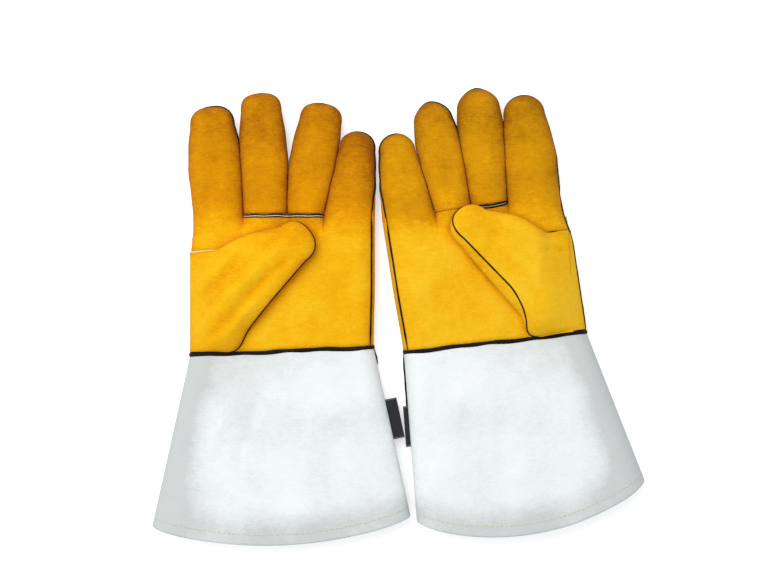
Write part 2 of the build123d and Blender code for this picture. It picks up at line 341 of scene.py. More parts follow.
# %% Where the hand is creased
HAND_CREASES = {
    "left": [
        ((38, 93), (71, 90), 2.2, -0.9),
        ((30, 96), (62, 78), 9.0, 0.8),
        ((-48, 96), (-40, 190), 5.0, 0.9),
        ((-60, 110), (-58, 180), 4.0, -0.6),
        ((-14, 112), (-16, 190), 4.5, -0.8),
        ((18, 112), (24, 180), 4.0, 0.6),
        ((-20, 60), (40, 30), 10.0, 0.9),
        ((40, 20), (55, 80), 6.0, -0.8),
    ],
    "right": [
        ((28, 100), (44, 104), 2.0, -0.9),
        ((20, 80), (60, 40), 9.0, 0.9),
        ((60, 10), (66, 90), 5.0, -0.8),
        ((-52, 112), (-50, 180), 5.0, 0.7),
        ((-14, 112), (-18, 190), 4.0, 0.6),
        ((0, 40), (30, 15), 8.0, -0.7),
        ((18, 110), (16, 180), 4.0, -0.5),
    ],
}


def hand_softness(glove, x, y):
    """How far the palm and the fingers' fronts stand above their plain shape."""
    rise = 0.55 * swell(x, y, 11 if glove.side == "left" else 23)
    return with_creases(rise, x, y, HAND_CREASES[glove.side])


print("creases", {side: len(lines) for side, lines in HAND_CREASES.items()})

# %% [markdown]
# ## The hand's two faces
#
# On this pattern the palm, the index finger's front and the little finger's front are one piece of
# leather, and the middle and ring fingers have fronts of their own, sewn on along one seam. Each column
# of the palm's grid runs up into a column of a finger, so the faces meet point for point. A fold between
# two fingers starts as a valley in the palm. Its depth grows over the last stretch before the fingers:
# the surface is (1 - s) times the hand's section plus s times the fingers' sections, and s grows with y.

# %% Fingers measured from the frame
VALLEY = 26.0
SADDLE = 0.8  # of the palm's height, left between the two sewn-on fingers
FINGER_ROUNDING = 0.86
HAND_ROUNDING = 14.0
BACK_ROUNDING = 9.0
PRESSED = 0.8  # the power that flattens the underside against the table
RESTING = 0.05  # the gap left between the leather and the table
CLOSE = 1.45  # each finger's leather fills its half of the gap beside it
FRONT_COLUMNS = 27
BACK_COLUMNS = 35
SKIRT = 7.0
SKIRT_ROWS = 6
SKIRT_DROP = 0.25  # how far the skirt sinks under the palm over its length
LEATHER = 1.4
HIDDEN = (-0.26, -0.26)
ROLLED_SEAM = {
    "left": {
        "index": (HIDDEN, (-0.20, 0.16)),
        "middle": (HIDDEN, HIDDEN),
        "ring": (HIDDEN, HIDDEN),
        "little": (HIDDEN, (0.33, 0.10)),
    },
    "right": {
        "index": ((0.14, -0.20), HIDDEN),
        "middle": (HIDDEN, HIDDEN),
        "ring": ((-0.26, 0.16), HIDDEN),
        "little": (HIDDEN, (0.36, 0.10)),
    },
}
BELLY = {
    "left": {"index": 2.6, "middle": 2.2, "ring": 2.2, "little": 1.1},
    "right": {"index": 2.5, "middle": 2.8, "ring": 3.2, "little": 1.4},
}
TIP_WIDER = {
    "left": {"index": 2.0, "middle": 1.6, "ring": 2.4, "little": 0.0},
    "right": {"index": 0.8, "middle": 2.4, "ring": 0.8, "little": 0.0},
}
SIDE_LEAN = {  # how far a side leans towards its neighbour over the finger's lower half
    "left": {"index": (0, 0.6), "middle": (0, 0.9), "ring": (2.0, 0), "little": (0, 0)},
    "right": {"index": (0, 0), "middle": (0, 0), "ring": (0, 0.4), "little": (0, 0)},
}
TIP_SQUARENESS = {
    "left": {"index": 2.5, "middle": 3.0, "ring": 2.8, "little": 2.3},
    "right": {"index": 2.2, "middle": 1.8, "ring": 1.75, "little": 2.1},
}
SIDE_BULGE = {"left": (2.4, 0.9), "right": (4.0, 0.8)}
CROTCH_SHIFT = {"left": (0.0, 0.5, 0.0), "right": (4.0, -1.6, -2.0)}
TIP_SHIFT = {
    "left": {"index": (-1.0, -1.2), "middle": (-1.0, 0.0), "ring": (2.8, -0.8), "little": (0.0, -1.0)},
    "right": {"index": (2.0, -5.0), "middle": (1.2, -3.0), "ring": (3.8, -1.0), "little": (2.2, 0.4)},
}
print("leather", LEATHER, "mm thick, valleys", VALLEY, "mm long")

# %% Bases, tips and leans


class Finger:
    """One finger's base, tip circle and lean, measured from its CAD node in the glove's frame."""

    def __init__(self, glove, name):
        points = glove.points(f"{name}_front")
        base = points[points[:, 1] < points[:, 1].min() + 0.5]
        self.name = name
        self.base = [base[:, 0].min() - CLOSE, base[:, 0].max() + CLOSE]
        order = FINGERS.index(name)
        if name != "index":
            self.base[0] += CROTCH_SHIFT[glove.side][order - 1]
        if name != "little":
            self.base[1] += CROTCH_SHIFT[glove.side][order]
        if name == "index":
            self.base[0] = -glove.half_width + SIDE_BULGE[glove.side][0]
        if name == "little":
            self.base[1] = glove.half_width + SIDE_BULGE[glove.side][1]
        lowest, furthest = points[:, 2].min(), points[:, 1].max()
        rim = points[(points[:, 2] < lowest + 0.05) & (points[:, 1] > furthest - 9)]
        self.tip, self.radius = circle_through(rim)
        self.tip = self.tip + TIP_SHIFT[glove.side][name]
        self.centre = sum(self.base) / 2
        self.crotches = [-np.inf, np.inf]
        self.half_base = (self.base[1] - self.base[0]) / 2
        self.rounding = FINGER_ROUNDING * self.half_base
        self.root = np.array([self.centre, glove.length])
        self.reach = float(np.linalg.norm(self.tip - self.root))
        self.heading = (self.tip - self.root) / self.reach


FINGER = {side: {name: Finger(glove, name) for name in FINGERS} for side, glove in GLOVES.items()}
for fingers in FINGER.values():
    for one, other in zip(FINGERS, FINGERS[1:]):
        line = (fingers[one].base[1] + fingers[other].base[0]) / 2
        fingers[one].crotches[1] = line - 0.05
        fingers[other].crotches[0] = line + 0.05
for side, fingers in FINGER.items():
    for name, finger in fingers.items():
        print(side, name, round(finger.half_base, 1), round(finger.reach, 1), round(finger.radius, 1))

# %% The hand's surfaces


def hand_edges(glove, y):
    """The hand's two sides at y: in a little beside the index finger, out a little beside the last."""
    inwards, outwards = SIDE_BULGE[glove.side]
    low = -glove.half_width + inwards * step(y, 0.62 * glove.length, 0.9 * glove.length)
    return low, glove.half_width + outwards * step(y, 0.05 * glove.length, 0.5 * glove.length)


def down_the_hand(glove, x, y):
    """Where a point at x of the knuckle line comes to lie at y: it keeps its share of the hand's width."""
    base_low, base_high = hand_edges(glove, glove.length)
    low_side, high_side = hand_edges(glove, y)
    return low_side + (high_side - low_side) * (x - base_low) / (base_high - base_low)


def quarter_round(share):
    """A quarter circle's height over its share of the way in: the root of 1 - (1 - share)^2."""
    return np.sqrt(np.maximum(1 - (1 - share) ** 2, 0))


def top_share(glove, x, y, rounding=HAND_ROUNDING):
    """How high the palm stands, from 0 at the side seams and the folds between fingers to 1."""
    low_side, high_side = hand_edges(glove, y)
    edge = np.clip(np.minimum(x - low_side, high_side - x) / rounding, 0, 1)
    hand = quarter_round(edge)
    middle, ring = FINGER[glove.side]["middle"], FINGER[glove.side]["ring"]
    fingers = SADDLE * np.exp(-(((x - (middle.base[1] + ring.base[0]) / 2) / 6.0) ** 2))
    for finger in FINGER[glove.side].values():
        edge = np.clip((finger.half_base - np.abs(x - finger.centre)) / finger.rounding, 0, 1)
        fingers = np.maximum(fingers, quarter_round(edge))
    s = step(y, glove.length - VALLEY, glove.length) ** 2.4
    return (1 - s) * hand + s * fingers


def palm_height(glove, x, y):
    """The height of the palm's surface above the table."""
    share = top_share(glove, x, y)
    return glove.middle + share * (glove.middle + hand_softness(glove, x, y))


def back_height(glove, x, y):
    """The height of the hand's back, which lies on the table, above it."""
    share = top_share(glove, x, y, BACK_ROUNDING)
    return glove.middle * (1 - share**PRESSED) + RESTING


def wrist_line(glove, x):
    """Where the wrist seam crosses x: it climbs towards the little finger and wavers a little."""
    return x * glove.slant + 0.35 * np.sin(x / 13.0) + 0.25 * np.sin(x / 5.1 + 1)


for glove in GLOVES.values():
    print(glove.side, "mid palm stands", round(float(palm_height(glove, 0.0, 50.0)), 1), "mm high")

# %% Columns round a finger, and the hand's grid


def on_top(p):
    """Whether p is on the palm's side, whatever turn round the section it is counted in."""
    return np.abs((p + 2) % 4 - 2) <= 1


def seams(glove, finger, t=0.0):
    """How far each seam has rolled from the side onto the palm's side: (1 - t) base value + t tip value."""
    return [(1 - t) * base + t * tip for base, tip in ROLLED_SEAM[glove.side][finger.name]]


def front_columns(glove, finger, t=0.0):
    """The front's columns between its two seams, one row for each t."""
    low, high = seams(glove, finger, np.atleast_1d(t)[:, None])
    return -1 + low + np.linspace(0, 1, FRONT_COLUMNS) * (2 - low - high)


def back_columns(glove, finger, t=0.0):
    """The back's columns, from the seam on the little finger's side round underneath to the other one."""
    low, high = seams(glove, finger, np.atleast_1d(t)[:, None])
    return 1 - high + np.linspace(0, 1, BACK_COLUMNS) * (2 + low + high)


def across_base(finger, p):
    """Where p lies across the knuckle line, kept on the finger's own side of each crotch."""
    across = section(p, finger.half_base, 1.0, finger.rounding)[0]
    return np.clip(finger.centre + across, *finger.crotches)


def hand_grid(glove, columns, over_top, rows=64):
    """The hand between the wrist and the fingers: columns keep their share of the width, row by row."""
    t = np.linspace(0, 1, rows)[:, None] ** 0.8
    low = wrist_line(glove, columns) + 1.2
    y = low + (glove.length - low) * t
    x = down_the_hand(glove, columns, y)
    palm, back = palm_height(glove, x, y), back_height(glove, x, y)
    return np.stack([x, y, np.where(over_top, palm, back)], axis=-1)


print("columns of a face:", len(FINGERS) * FRONT_COLUMNS, "and", len(FINGERS) * BACK_COLUMNS)

# %% [markdown]
# Colour varies with place as well: the leather is darker and browner towards the fingertips, and brighter
# low on the palm. On top of that, painted shade darkens it where the surface turns down into the folds and
# at the seams, and in the dips of its swells. That is stored as one number for each point, `tone`, so that
# the
# material can follow it: 1 is bright, 0 is dark.

# %% The tone of the leather
FINGER_TONE = {  # what each finger's own hide adds to the tone
    "left": {"index": 0.0, "middle": 0.0, "ring": 0.0, "little": -0.22},
    "right": {"index": -0.05, "middle": -0.02, "ring": 0.06, "little": 0.10},
}


def leather_tone(glove, x, y, share):
    """Bright low on the palm, darker from the knuckles up, and painted shade in folds, at seams and in
    dips.
    """
    tone = 0.83 - 0.39 * step(y, 0.70 * glove.length, 1.15 * glove.length)
    tone = tone - 0.17 * step(y, 1.2 * glove.length, 1.75 * glove.length)
    # Painted shade: darker where the surface turns down, at the side seams and into the folds between
    # fingers.
    tone = tone - 0.42 * (1 - np.clip(share, 0, 1)) ** 1.6
    # The swell is the hide's own uneven colour; hand_softness adds painted shade in dips, painted light on
    # ridges.
    return tone + 0.05 * swell(x, y, 5, 20.0, 60.0) + 0.05 * hand_softness(glove, x, y)


def near_line(x, y, line, reach):
    """exp(-distance / reach) for the distance from each point to the nearest point of a line."""
    gap = np.hypot(x.ravel()[:, None] - line[None, :, 0], y.ravel()[:, None] - line[None, :, 1])
    return np.exp(-gap.min(axis=1) / reach).reshape(x.shape)


for glove in GLOVES.values():
    print(glove.side, "tone low on the palm:", round(float(leather_tone(glove, 0.0, 10.0, 1.0)), 2))

# %% The hand's leather
PALM_REACH = {"index": (-2, 1), "little": (-1, 2)}
BACK_ONLY = (1.001, 2.999)
BACK_REACH = {"index": (BACK_ONLY[0], 4), "little": (0, BACK_ONLY[1])}


def hand_face(glove, fingers, columns_of, reach, plain_reach):
    """One face of the hand: each finger's columns, kept to that face except at the hand's two sides."""
    p = [np.clip(columns_of(glove, f)[0], *reach.get(f.name, plain_reach)) for f in fingers]
    columns = np.concatenate([across_base(f, q) for f, q in zip(fingers, p)])
    return hand_grid(glove, columns, on_top(np.concatenate(p)))


def make_hand(glove):
    """The palm leather and the back leather of one glove."""
    fingers = list(FINGER[glove.side].values())
    grid = hand_face(glove, fingers, front_columns, PALM_REACH, (-1, 1))
    x, y = grid[..., 0], grid[..., 1]
    outline = thumb_outline(glove)
    # Painted shadow: the palm is darkened along the thumb's outline, where the raised thumb shades it.
    tone = leather_tone(glove, x, y, top_share(glove, x, y)) - 0.34 * near_line(x, y, outline, 2.6)
    palm = leather_sheet(f"{glove.side}_palm_leather", grid, LEATHER, glove, tone)
    grid = hand_face(glove, fingers[::-1], back_columns, BACK_REACH, BACK_ONLY)
    back = leather_sheet(f"{glove.side}_back_leather", grid, LEATHER, glove, 0.7)
    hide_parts(glove.body("palm_panel"))
    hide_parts(glove.body("back_panel"))
    for piece in (palm, back):
        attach(piece, glove.body("hand"))


print("columns that reach round a side:", PALM_REACH)

# %% [markdown]
# ## Fingers
#
# A finger is a tube of sections from the palm to its tip. The width goes from the base's to the tip's,
# with a slight belly between. Over the tip, the width and the depth shrink as (1 - t^n)^(1/n), where t
# goes from 0 at the tip's centre to 1 at its end: n = 2 is a half circle, and a larger n is squarer. A
# skirt runs on below the finger's base, lying on the palm, so that no open edge shows at the knuckles.

# %% Finger surfaces
STRAIGHT_ROWS = 60
TIP_ROWS = 22


def tip_cap(n):
    """How far out each row of a tip lies, and how wide it still is: (1 - t^n)^(1/n)."""
    tip = np.sin(np.linspace(0, 1, TIP_ROWS + 1)[1:] * np.pi / 2)
    return tip, (1 - tip**n) ** (1 / n)


def finger_rows(glove, finger, inset=0.0):
    """Centre, sideways direction, width, depth, middle and rounding for each row, from base to tip."""
    t = np.linspace(0, 1, STRAIGHT_ROWS)
    tip, cap = tip_cap(TIP_SQUARENESS[glove.side][finger.name])
    radius, depth = finger.radius, glove.middle
    belly = BELLY[glove.side][finger.name] * np.sin(np.pi * t**1.3)
    belly = belly + 0.25 * np.sin(5.3 * np.pi * t) * np.sin(np.pi * t)
    wide = radius + TIP_WIDER[glove.side][finger.name]
    low_lean, high_lean = SIDE_LEAN[glove.side][finger.name]
    lean = np.sin(np.pi * t**0.65)
    taper = finger.half_base + (wide - finger.half_base) * t
    straight = taper + belly + (low_lean + high_lean) / 2 * lean - inset
    width = np.concatenate([straight, (wide - inset) * cap])
    depths = np.concatenate([np.full(STRAIGHT_ROWS, depth - inset), (depth - inset) * cap])
    along = np.concatenate([t * finger.reach, finger.reach + tip * (radius - inset)])
    centre = finger.root + along[:, None] * finger.heading
    blend = step(along, 0, 0.5 * finger.reach)[:, None]
    square = np.array([finger.heading[1], -finger.heading[0]])
    sideways = unit((1 - blend) * np.array([1.0, 0.0]) + blend * square)
    lean = np.append(lean, np.zeros(TIP_ROWS))[:, None]
    centre = centre + sideways * (high_lean - low_lean) / 2 * lean
    rounding = np.minimum(FINGER_ROUNDING * width, width)
    return centre, sideways, width, depths, np.full(len(along), depth), rounding


def finger_t(rows):
    """0 at the base and 1 at the tip's centre and beyond, for each row."""
    return np.minimum(np.linspace(0, len(rows[0]) / STRAIGHT_ROWS, len(rows[0])), 1)


print("rows of a finger:", STRAIGHT_ROWS, "and", TIP_ROWS, "over the tip")

# %% Fingers pressed against each other


def meeting_lines(glove):
    """For each finger, the two lines half way to its neighbours, by distance past the knuckles."""
    fingers = list(FINGER[glove.side].values())
    lines = {finger.name: [np.full(len(PAST), -FAR), np.full(len(PAST), FAR)] for finger in fingers}
    for one, other in zip(fingers, fingers[1:]):
        a, b = finger_rows(glove, one), finger_rows(glove, other)
        edges = (a[0] + a[1] * a[2][:, None], b[0] - b[1] * b[2][:, None])
        half_way = sum(np.interp(glove.length + PAST, edge[:, 1], edge[:, 0]) for edge in edges) / 2
        both = PAST < min(edge[:, 1].max() for edge in edges) - glove.length - 4
        lines[one.name][1] = np.where(both, half_way, FAR)
        lines[other.name][0] = np.where(both, half_way, -FAR)
    return lines


FAR = 1e3  # where a finger has no neighbour
PAST = np.linspace(0, 100, 201)
MEETING = {side: meeting_lines(glove) for side, glove in GLOVES.items()}


def press(glove, finger, grid, gap=0.15):
    """Flattens a finger's sides against its neighbours: x stays on its own side of the meeting lines."""
    past = grid[..., 1] - glove.length
    low, high = (np.interp(past, PAST, line) for line in MEETING[glove.side][finger.name])
    grid[..., 0] = np.clip(grid[..., 0], low + gap, high - gap)
    return grid


def soften(glove, grid):
    """Adds the hand's swells and creases to the upper half of a grid, in step with its height."""
    share = np.clip((grid[..., 2] - glove.middle) / glove.middle, 0, 1)
    grid[..., 2] += share * hand_softness(glove, grid[..., 0], grid[..., 1])
    return grid, share


def lay_flat(glove, grid):
    """Presses the lower half of a grid against the table: the rise is raised to a power below 1."""
    share = np.clip((glove.middle - grid[..., 2]) / glove.middle, 0, 1)
    low = glove.middle * (1 - share**PRESSED) + RESTING
    grid[..., 2] = np.where(share > 0, low, grid[..., 2])
    return grid


print("meeting lines", {side: len(lines) for side, lines in MEETING.items()})

# %% The fingers' leather


def skirt_below(glove, grid, p):
    """Rows that carry a finger's sheet on down the hand: just off its surface, then just under it."""
    down = np.linspace(SKIRT, 0, SKIRT_ROWS + 1)[:-1, None]
    y = grid[0, :, 1] - down
    x = down_the_hand(glove, grid[0, :, 0], y)
    height = RESTING - SKIRT_DROP * down / SKIRT
    palm, back = palm_height(glove, x, y) + height, back_height(glove, x, y) - height
    rows = np.stack([x, y, np.where(on_top(p), palm, back)], axis=-1)
    return np.concatenate([rows, grid])


def make_finger(glove, finger):
    """One finger's front and back leather."""
    rows = finger_rows(glove, finger)
    p = front_columns(glove, finger, finger_t(rows))
    front = press(glove, finger, tube(p, *rows))
    sewn_on = finger.name in ("middle", "ring")
    front, share = soften(glove, front)
    if sewn_on:
        above = front[..., 1] - glove.length
        bulge = 1.5 * np.sqrt(np.clip(above / 3.0, 0, 1)) * np.exp(-np.maximum(above, 0) / 16.0)
        front[..., 2] += bulge * np.clip(share * 3, 0, 1)
        corner = 1 - 0.07 * np.exp(-np.maximum(above, 0) / 2.5) * step(share, 0.1, 0.7)
        front[..., 0] = finger.centre + (front[..., 0] - finger.centre) * corner
        tone = leather_tone(glove, front[..., 0], front[..., 1], share) - 0.02
        tone = tone + FINGER_TONE[glove.side][finger.name] * step(above, 0, 20)
    else:
        front = skirt_below(glove, front, p[0])
        share = top_share(glove, front[..., 0], np.minimum(front[..., 1], glove.length))
        share[SKIRT_ROWS:] = np.clip((front[SKIRT_ROWS:, :, 2] - glove.middle) / glove.middle, 0, 1)
        tone = leather_tone(glove, front[..., 0], front[..., 1], share)
        tone = tone + FINGER_TONE[glove.side][finger.name] * step(front[..., 1] - glove.length, 0, 30)
    front_piece = leather_sheet(f"{glove.side}_{finger.name}_front_leather", front, LEATHER, glove, tone)
    p = back_columns(glove, finger, finger_t(rows))
    back = lay_flat(glove, press(glove, finger, tube(p, *rows)))
    back, _ = soften(glove, back)
    back = skirt_below(glove, back, p[0])
    back_piece = leather_sheet(f"{glove.side}_{finger.name}_back_leather", back, LEATHER, glove, 0.55)
    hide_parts(glove.body(f"{finger.name}_front"))
    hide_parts(glove.body(f"{finger.name}_back"))
    for piece in (front_piece, back_piece):
        bend_finger(glove, piece, finger)


BEND = 24.0


def bend_finger(glove, piece, finger):
    """Bakes the piece's transform into its mesh; the stretch past the knuckle line is worked out but not
    used.
    """
    start, end = glove.place([[0, glove.length, glove.depth], [0, glove.length + BEND, glove.depth]])
    glove.body("hand")
    glove.body(finger.name)
    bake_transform(piece)


for side, glove in GLOVES.items():
    for finger in FINGER[side].values():
        make_finger(glove, finger)
    print(side, "fingers", len(FINGER[side]))

# %% [markdown]
# ## Thumbs
#
# The thumb's front is one piece that starts low on the palm, rises over the thumb's root and lies folded
# across the palm. It is a tube again, but its sections run between two edge curves: the lower edge comes
# from the wrist and up the thumb's inner side, the upper edge along the seam below the index finger. The
# height of the edges goes from the palm's to the thumb's own, and the swell between them fills the rest.

# %% Thumb surfaces
ROOT_ROWS = 34
THUMB_ROWS = 50
THUMB_COLUMNS = 45
THUMB_ROUNDING = 0.78
THUMB_FREE = (-12, 16)  # how far past the fold line the thumb comes free of the hand
THUMB_SHAPE = {
    "left": {
        "lower": -0.4,
        "upper": 3.2,
        "rolled": 0.04,
        "square": 2.4,
        "shift": (-1.0, 0.6),
        "back_from": -1.0,
        "foot": -2.0,
        "heel": (-0.6, 0.3),
    },
    "right": {
        "lower": 0.6,
        "upper": 4.0,
        "rolled": 0.5,
        "square": 2.2,
        "shift": (2.5, 4.0),
        "back_from": -28.0,
        "foot": 6.0,
        "heel": (2.6, 1.0),
    },
}
print("root rows", ROOT_ROWS, "and thumb rows", THUMB_ROWS)

# %% The thumb's fold line, tip and heights


class Thumb:
    """The thumb's fold line, tip and heights, measured from its CAD nodes."""

    def __init__(self, glove):
        points = glove.points("thumb_front")
        joint = JOINTS[glove.body("thumb_lift")]
        axis = np.array(joint["axis"][:2], float)
        along = np.array([axis @ glove.x_axis, axis @ glove.y_axis])
        along = along if along[1] < 0 else -along
        self.square = np.array([-along[1], along[0]])
        pivot = np.array(joint["pos_m"][:2]) / MM - glove.origin
        pivot = np.array([pivot @ glove.x_axis, pivot @ glove.y_axis])
        ahead = (points[:, :2] - pivot) @ self.square
        base = (points[ahead < ahead.min() + 0.5][:, :2] - pivot) @ along
        self.top = pivot + along * base.min()
        self.heel = pivot + along * base.max() + np.array(THUMB_SHAPE[glove.side]["heel"])
        rim = points[points[:, 2] < points[:, 2].min() + 0.05][:, :2]
        far = (rim - pivot) @ self.square
        self.tip, self.radius = circle_through(rim[far > far.max() - 9])
        self.tip = self.tip + THUMB_SHAPE[glove.side]["shift"]
        self.roof = joint["pos_m"][2] / MM
        self.floor = float(glove.points("thumb_back")[:, 2].min())
        self.middle = (self.roof + self.floor) / 2
        self.pivot = pivot
        root = glove.points("thumb_root")
        self.seam_y = float(root[root[:, 0] < root[:, 0].min() + 0.5][:, 1].max())
        low = root[root[:, 1] < root[:, 1].min() + 4.0]
        self.foot_x = float(low[:, 0].max())

THUMB = {side: Thumb(glove) for side, glove in GLOVES.items()}
for side, thumb in THUMB.items():
    print(side, "thumb top, heel and tip", thumb.top.round(1), thumb.heel.round(1), thumb.tip.round(1))

# %% The thumb's rows


def lengths_along(path):
    """The length of a path from its start to each of its points."""
    return np.append(0, np.cumsum(np.linalg.norm(np.diff(path, axis=0), axis=1)))


def edge_curve(points, count):
    """A smooth curve through a few points: a Catmull-Rom spline, evenly spread by length."""
    points = np.array(points, float)
    ends = (2 * points[0] - points[1], 2 * points[-1] - points[-2])
    knots = np.vstack([ends[0], points, ends[1]])
    t = np.linspace(0, len(points) - 1, 400)
    k = np.minimum(t.astype(int), len(points) - 2)
    s = (t - k)[:, None]
    a, b, c, d = (knots[k + i] for i in range(4))
    square, cube = 2 * a - 5 * b + 4 * c - d, 3 * b - a - 3 * c + d
    curve = 0.5 * (2 * b + (c - a) * s + square * s**2 + cube * s**3)
    long = lengths_along(curve)
    even = np.linspace(0, long[-1], count)
    return np.column_stack([np.interp(even, long, curve[:, i]) for i in range(curve.shape[1])])


def thumb_rows(glove, thumb, inset=0.0):
    """Rows of sections from the glove's side, over the root, along the thumb and round its tip."""
    shape = THUMB_SHAPE[glove.side]
    side = -glove.half_width
    heading = unit(thumb.tip - (thumb.top + thumb.heel) / 2)
    square = np.array([-heading[1], heading[0]])
    foot = [(x, wrist_line(glove, x) + 2.4) for x in (side, thumb.foot_x + shape["foot"])]
    lower_end = thumb.tip - square * thumb.radius
    upper_end = thumb.tip + square * thumb.radius
    lower_mid = (thumb.heel + lower_end) / 2 - square * shape["lower"]
    upper_mid = (thumb.top + upper_end) / 2 + square * shape["upper"]
    lower = np.vstack([
        edge_curve([foot[0], (np.array(foot[0]) + foot[1]) / 2, foot[1], thumb.heel], ROOT_ROWS)[:-1],
        edge_curve([thumb.heel, lower_mid, lower_end], THUMB_ROWS),
    ])
    upper = np.vstack([
        edge_curve([(side, thumb.seam_y), thumb.top], ROOT_ROWS)[:-1],
        edge_curve([thumb.top, upper_mid, upper_end], THUMB_ROWS),
    ])
    kernel = np.hanning(11)[1:-1] / np.hanning(11)[1:-1].sum()
    for edge in (lower, upper):
        padded = np.vstack([2 * edge[0] - edge[4:0:-1], edge, 2 * edge[-1] - edge[-2:-6:-1]])
        smooth = np.column_stack([np.convolve(padded[:, i], kernel, "valid") for i in (0, 1)])
        count, last = np.arange(len(edge)), len(edge)
        inside = step(count, 2, 8) * (1 - step(count, last - 9, last - 3))
        edge += (smooth - edge) * inside[:, None]
    tip, cap = tip_cap(shape["square"])
    width = np.linalg.norm(upper - lower, axis=1) / 2
    centre = (upper + lower) / 2
    sideways = unit(upper - lower)
    ahead = (centre - thumb.pivot) @ thumb.square
    width = np.concatenate([width, width[-1] * cap]) - inset
    centre = np.vstack([centre, centre[-1] + tip[:, None] * heading * thumb.radius])
    sideways = np.vstack([sideways, np.repeat(sideways[-1:], TIP_ROWS, axis=0)])
    ahead = np.concatenate([ahead, ahead[-1] + tip * thumb.radius])
    cap = np.concatenate([np.ones(len(lower)), cap])
    return centre, sideways, np.maximum(width, 0.02), ahead, cap

for side, glove in GLOVES.items():
    print(side, "thumb rows", len(thumb_rows(glove, THUMB[side])[0]))

# %% The thumb's two faces


def thumb_sections(glove, thumb, p, rows):
    """Points at p round the thumb, with its edges, its floor and how far it is free of the hand.

    The edges lie on the palm over the root and at the thumb's mid height past the fold. The floor is the
    palm's own surface, so the thumb lies on it everywhere.
    """
    centre, sideways, width, ahead, cap = rows
    flat = np.zeros(len(width))
    plan = tube(p, centre, sideways, width, flat + 1, flat, THUMB_ROUNDING * width)
    x, y, arc = plan[..., 0], plan[..., 1], plan[..., 2]
    free = step(ahead, -6, 15)[:, None]
    palm = palm_height(glove, x, y)
    edge = (1 - free) * (palm + 0.9) + free * thumb.middle
    floor = np.minimum(palm + 0.5, edge - 0.2)
    below = edge + np.minimum(arc, 0) * (edge - floor) * free * (0.25 + 0.75 * cap[:, None])
    return x, y, arc, free, edge, below


def thumb_relief(glove, x, y):
    """The swells of the thumb's leather and the soft folds that run along it."""
    return with_creases(0.6 * swell(x, y, 31, 20.0, 55.0), x, y, THUMB_CREASES[glove.side])


def thumb_rolled(glove, rows):
    """How far the lower seam has rolled up: from nothing at the wrist to all of it past the fold."""
    centre, sideways, width, ahead, cap = rows
    lower = centre - sideways * width[:, None]
    above = lower[:, 1] - wrist_line(glove, lower[:, 0]) - 2.4
    return THUMB_SHAPE[glove.side]["rolled"] * (0.4 * step(above, 0.5, 9) + 0.6 * step(ahead, *THUMB_FREE))


def thumb_height(glove, thumb, x, y, arc, free, edge, cap):
    """The thumb's upper side: its edge, and a crown with swells and folds that fades at the hand's side."""
    from_side = np.clip((x + glove.half_width) / HAND_ROUNDING, 0, 1)
    fade = np.maximum(quarter_round(from_side), free) * (0.22 + 0.78 * cap[:, None])
    crown = thumb.roof - ((1 - free) * glove.depth + free * thumb.middle)
    rise = step(x, -glove.half_width, -glove.half_width + 34) * (1 - free) + free
    relief = thumb_relief(glove, x, y) * np.clip(arc * 1.2, 0, 1)
    return edge + (np.clip(arc, 0, 1) * crown * rise + relief) * fade


def thumb_front(glove, thumb):
    """The thumb's front: its crown rises from the side of the hand to the roof of the thumb."""
    rows = thumb_rows(glove, thumb)
    free = step(rows[3], *THUMB_FREE)
    rolled = thumb_rolled(glove, rows)
    reach = (2 - rolled + THUMB_TUCK * free)[:, None]
    p = (-1 + rolled)[:, None] + np.linspace(0, 1, THUMB_COLUMNS) * reach
    x, y, arc, free, edge, below = thumb_sections(glove, thumb, p, rows)
    z = thumb_height(glove, thumb, x, y, arc, free, edge, rows[4])
    return np.stack([x, y, np.where(arc < 0, below, z)], axis=-1), rows[3], arc


THUMB_TUCK = 0.26  # how far the front wraps under the thumb's upper side
THUMB_CREASES = {
    "left": [
        ((-64, 16), (-20, 62), 4.0, 1.8),
        ((-56, 10), (-10, 56), 3.0, -1.9),
        ((-46, 8), (-16, 40), 3.2, 1.3),
        ((-68, 34), (-30, 74), 4.2, -1.6),
        ((-66, 48), (-40, 72), 4.0, 1.2),
        ((-30, 52), (10, 90), 4.5, 1.2),
        ((-24, 46), (8, 72), 3.2, -1.3),
        ((-12, 80), (8, 92), 4.0, -0.9),
    ],
    "right": [
        ((-66, 62), (-46, 66), 2.0, -0.9),
        ((-60, 20), (-20, 70), 6.0, 1.1),
        ((-42, 20), (-12, 70), 4.0, -1.0),
        ((-18, 92), (0, 66), 3.5, -0.8),
        ((-50, 70), (-14, 98), 4.0, 0.9),
    ],
}


def thumb_back(glove, thumb):
    """The thumb's back: from the rolled seam, under the thumb and up to its upper edge."""
    rows = thumb_rows(glove, thumb)
    rows = [v[rows[3] > THUMB_SHAPE[glove.side]["back_from"]] for v in rows]
    free = step(rows[3], *THUMB_FREE)
    rolled = thumb_rolled(glove, rows)
    reach = (2 + rolled - THUMB_TUCK * free)[:, None]
    p = 1 + (THUMB_TUCK * free)[:, None] + np.linspace(0, 1, THUMB_COLUMNS) * reach
    x, y, arc, free, edge, below = thumb_sections(glove, thumb, p, rows)
    z = thumb_height(glove, thumb, x, y, arc, free, edge, rows[4]) - 0.05
    return np.stack([x, y, np.where(arc < 0, below, z)], axis=-1)

print("creases", {side: len(lines) for side, lines in THUMB_CREASES.items()})

# %% The hands' and thumbs' leather


def bend_thumb(glove, piece):
    """Bakes the piece's transform into its mesh; the stretch past the fold line is worked out but not used.
    """
    thumb = THUMB[glove.side]
    ahead = thumb.pivot + thumb.square * BEND
    start, end = glove.place([[*thumb.pivot, thumb.roof], [*ahead, thumb.roof]])
    glove.body("hand")
    glove.body("thumb")
    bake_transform(piece)


def thumb_outline(glove):
    """The thumb's outline on the palm: its lower edge out to the tip and its upper edge back."""
    centre, sideways, width, ahead, cap = thumb_rows(glove, THUMB[glove.side])
    half = sideways * width[:, None]
    return np.vstack([centre - half, (centre + half)[::-1]])


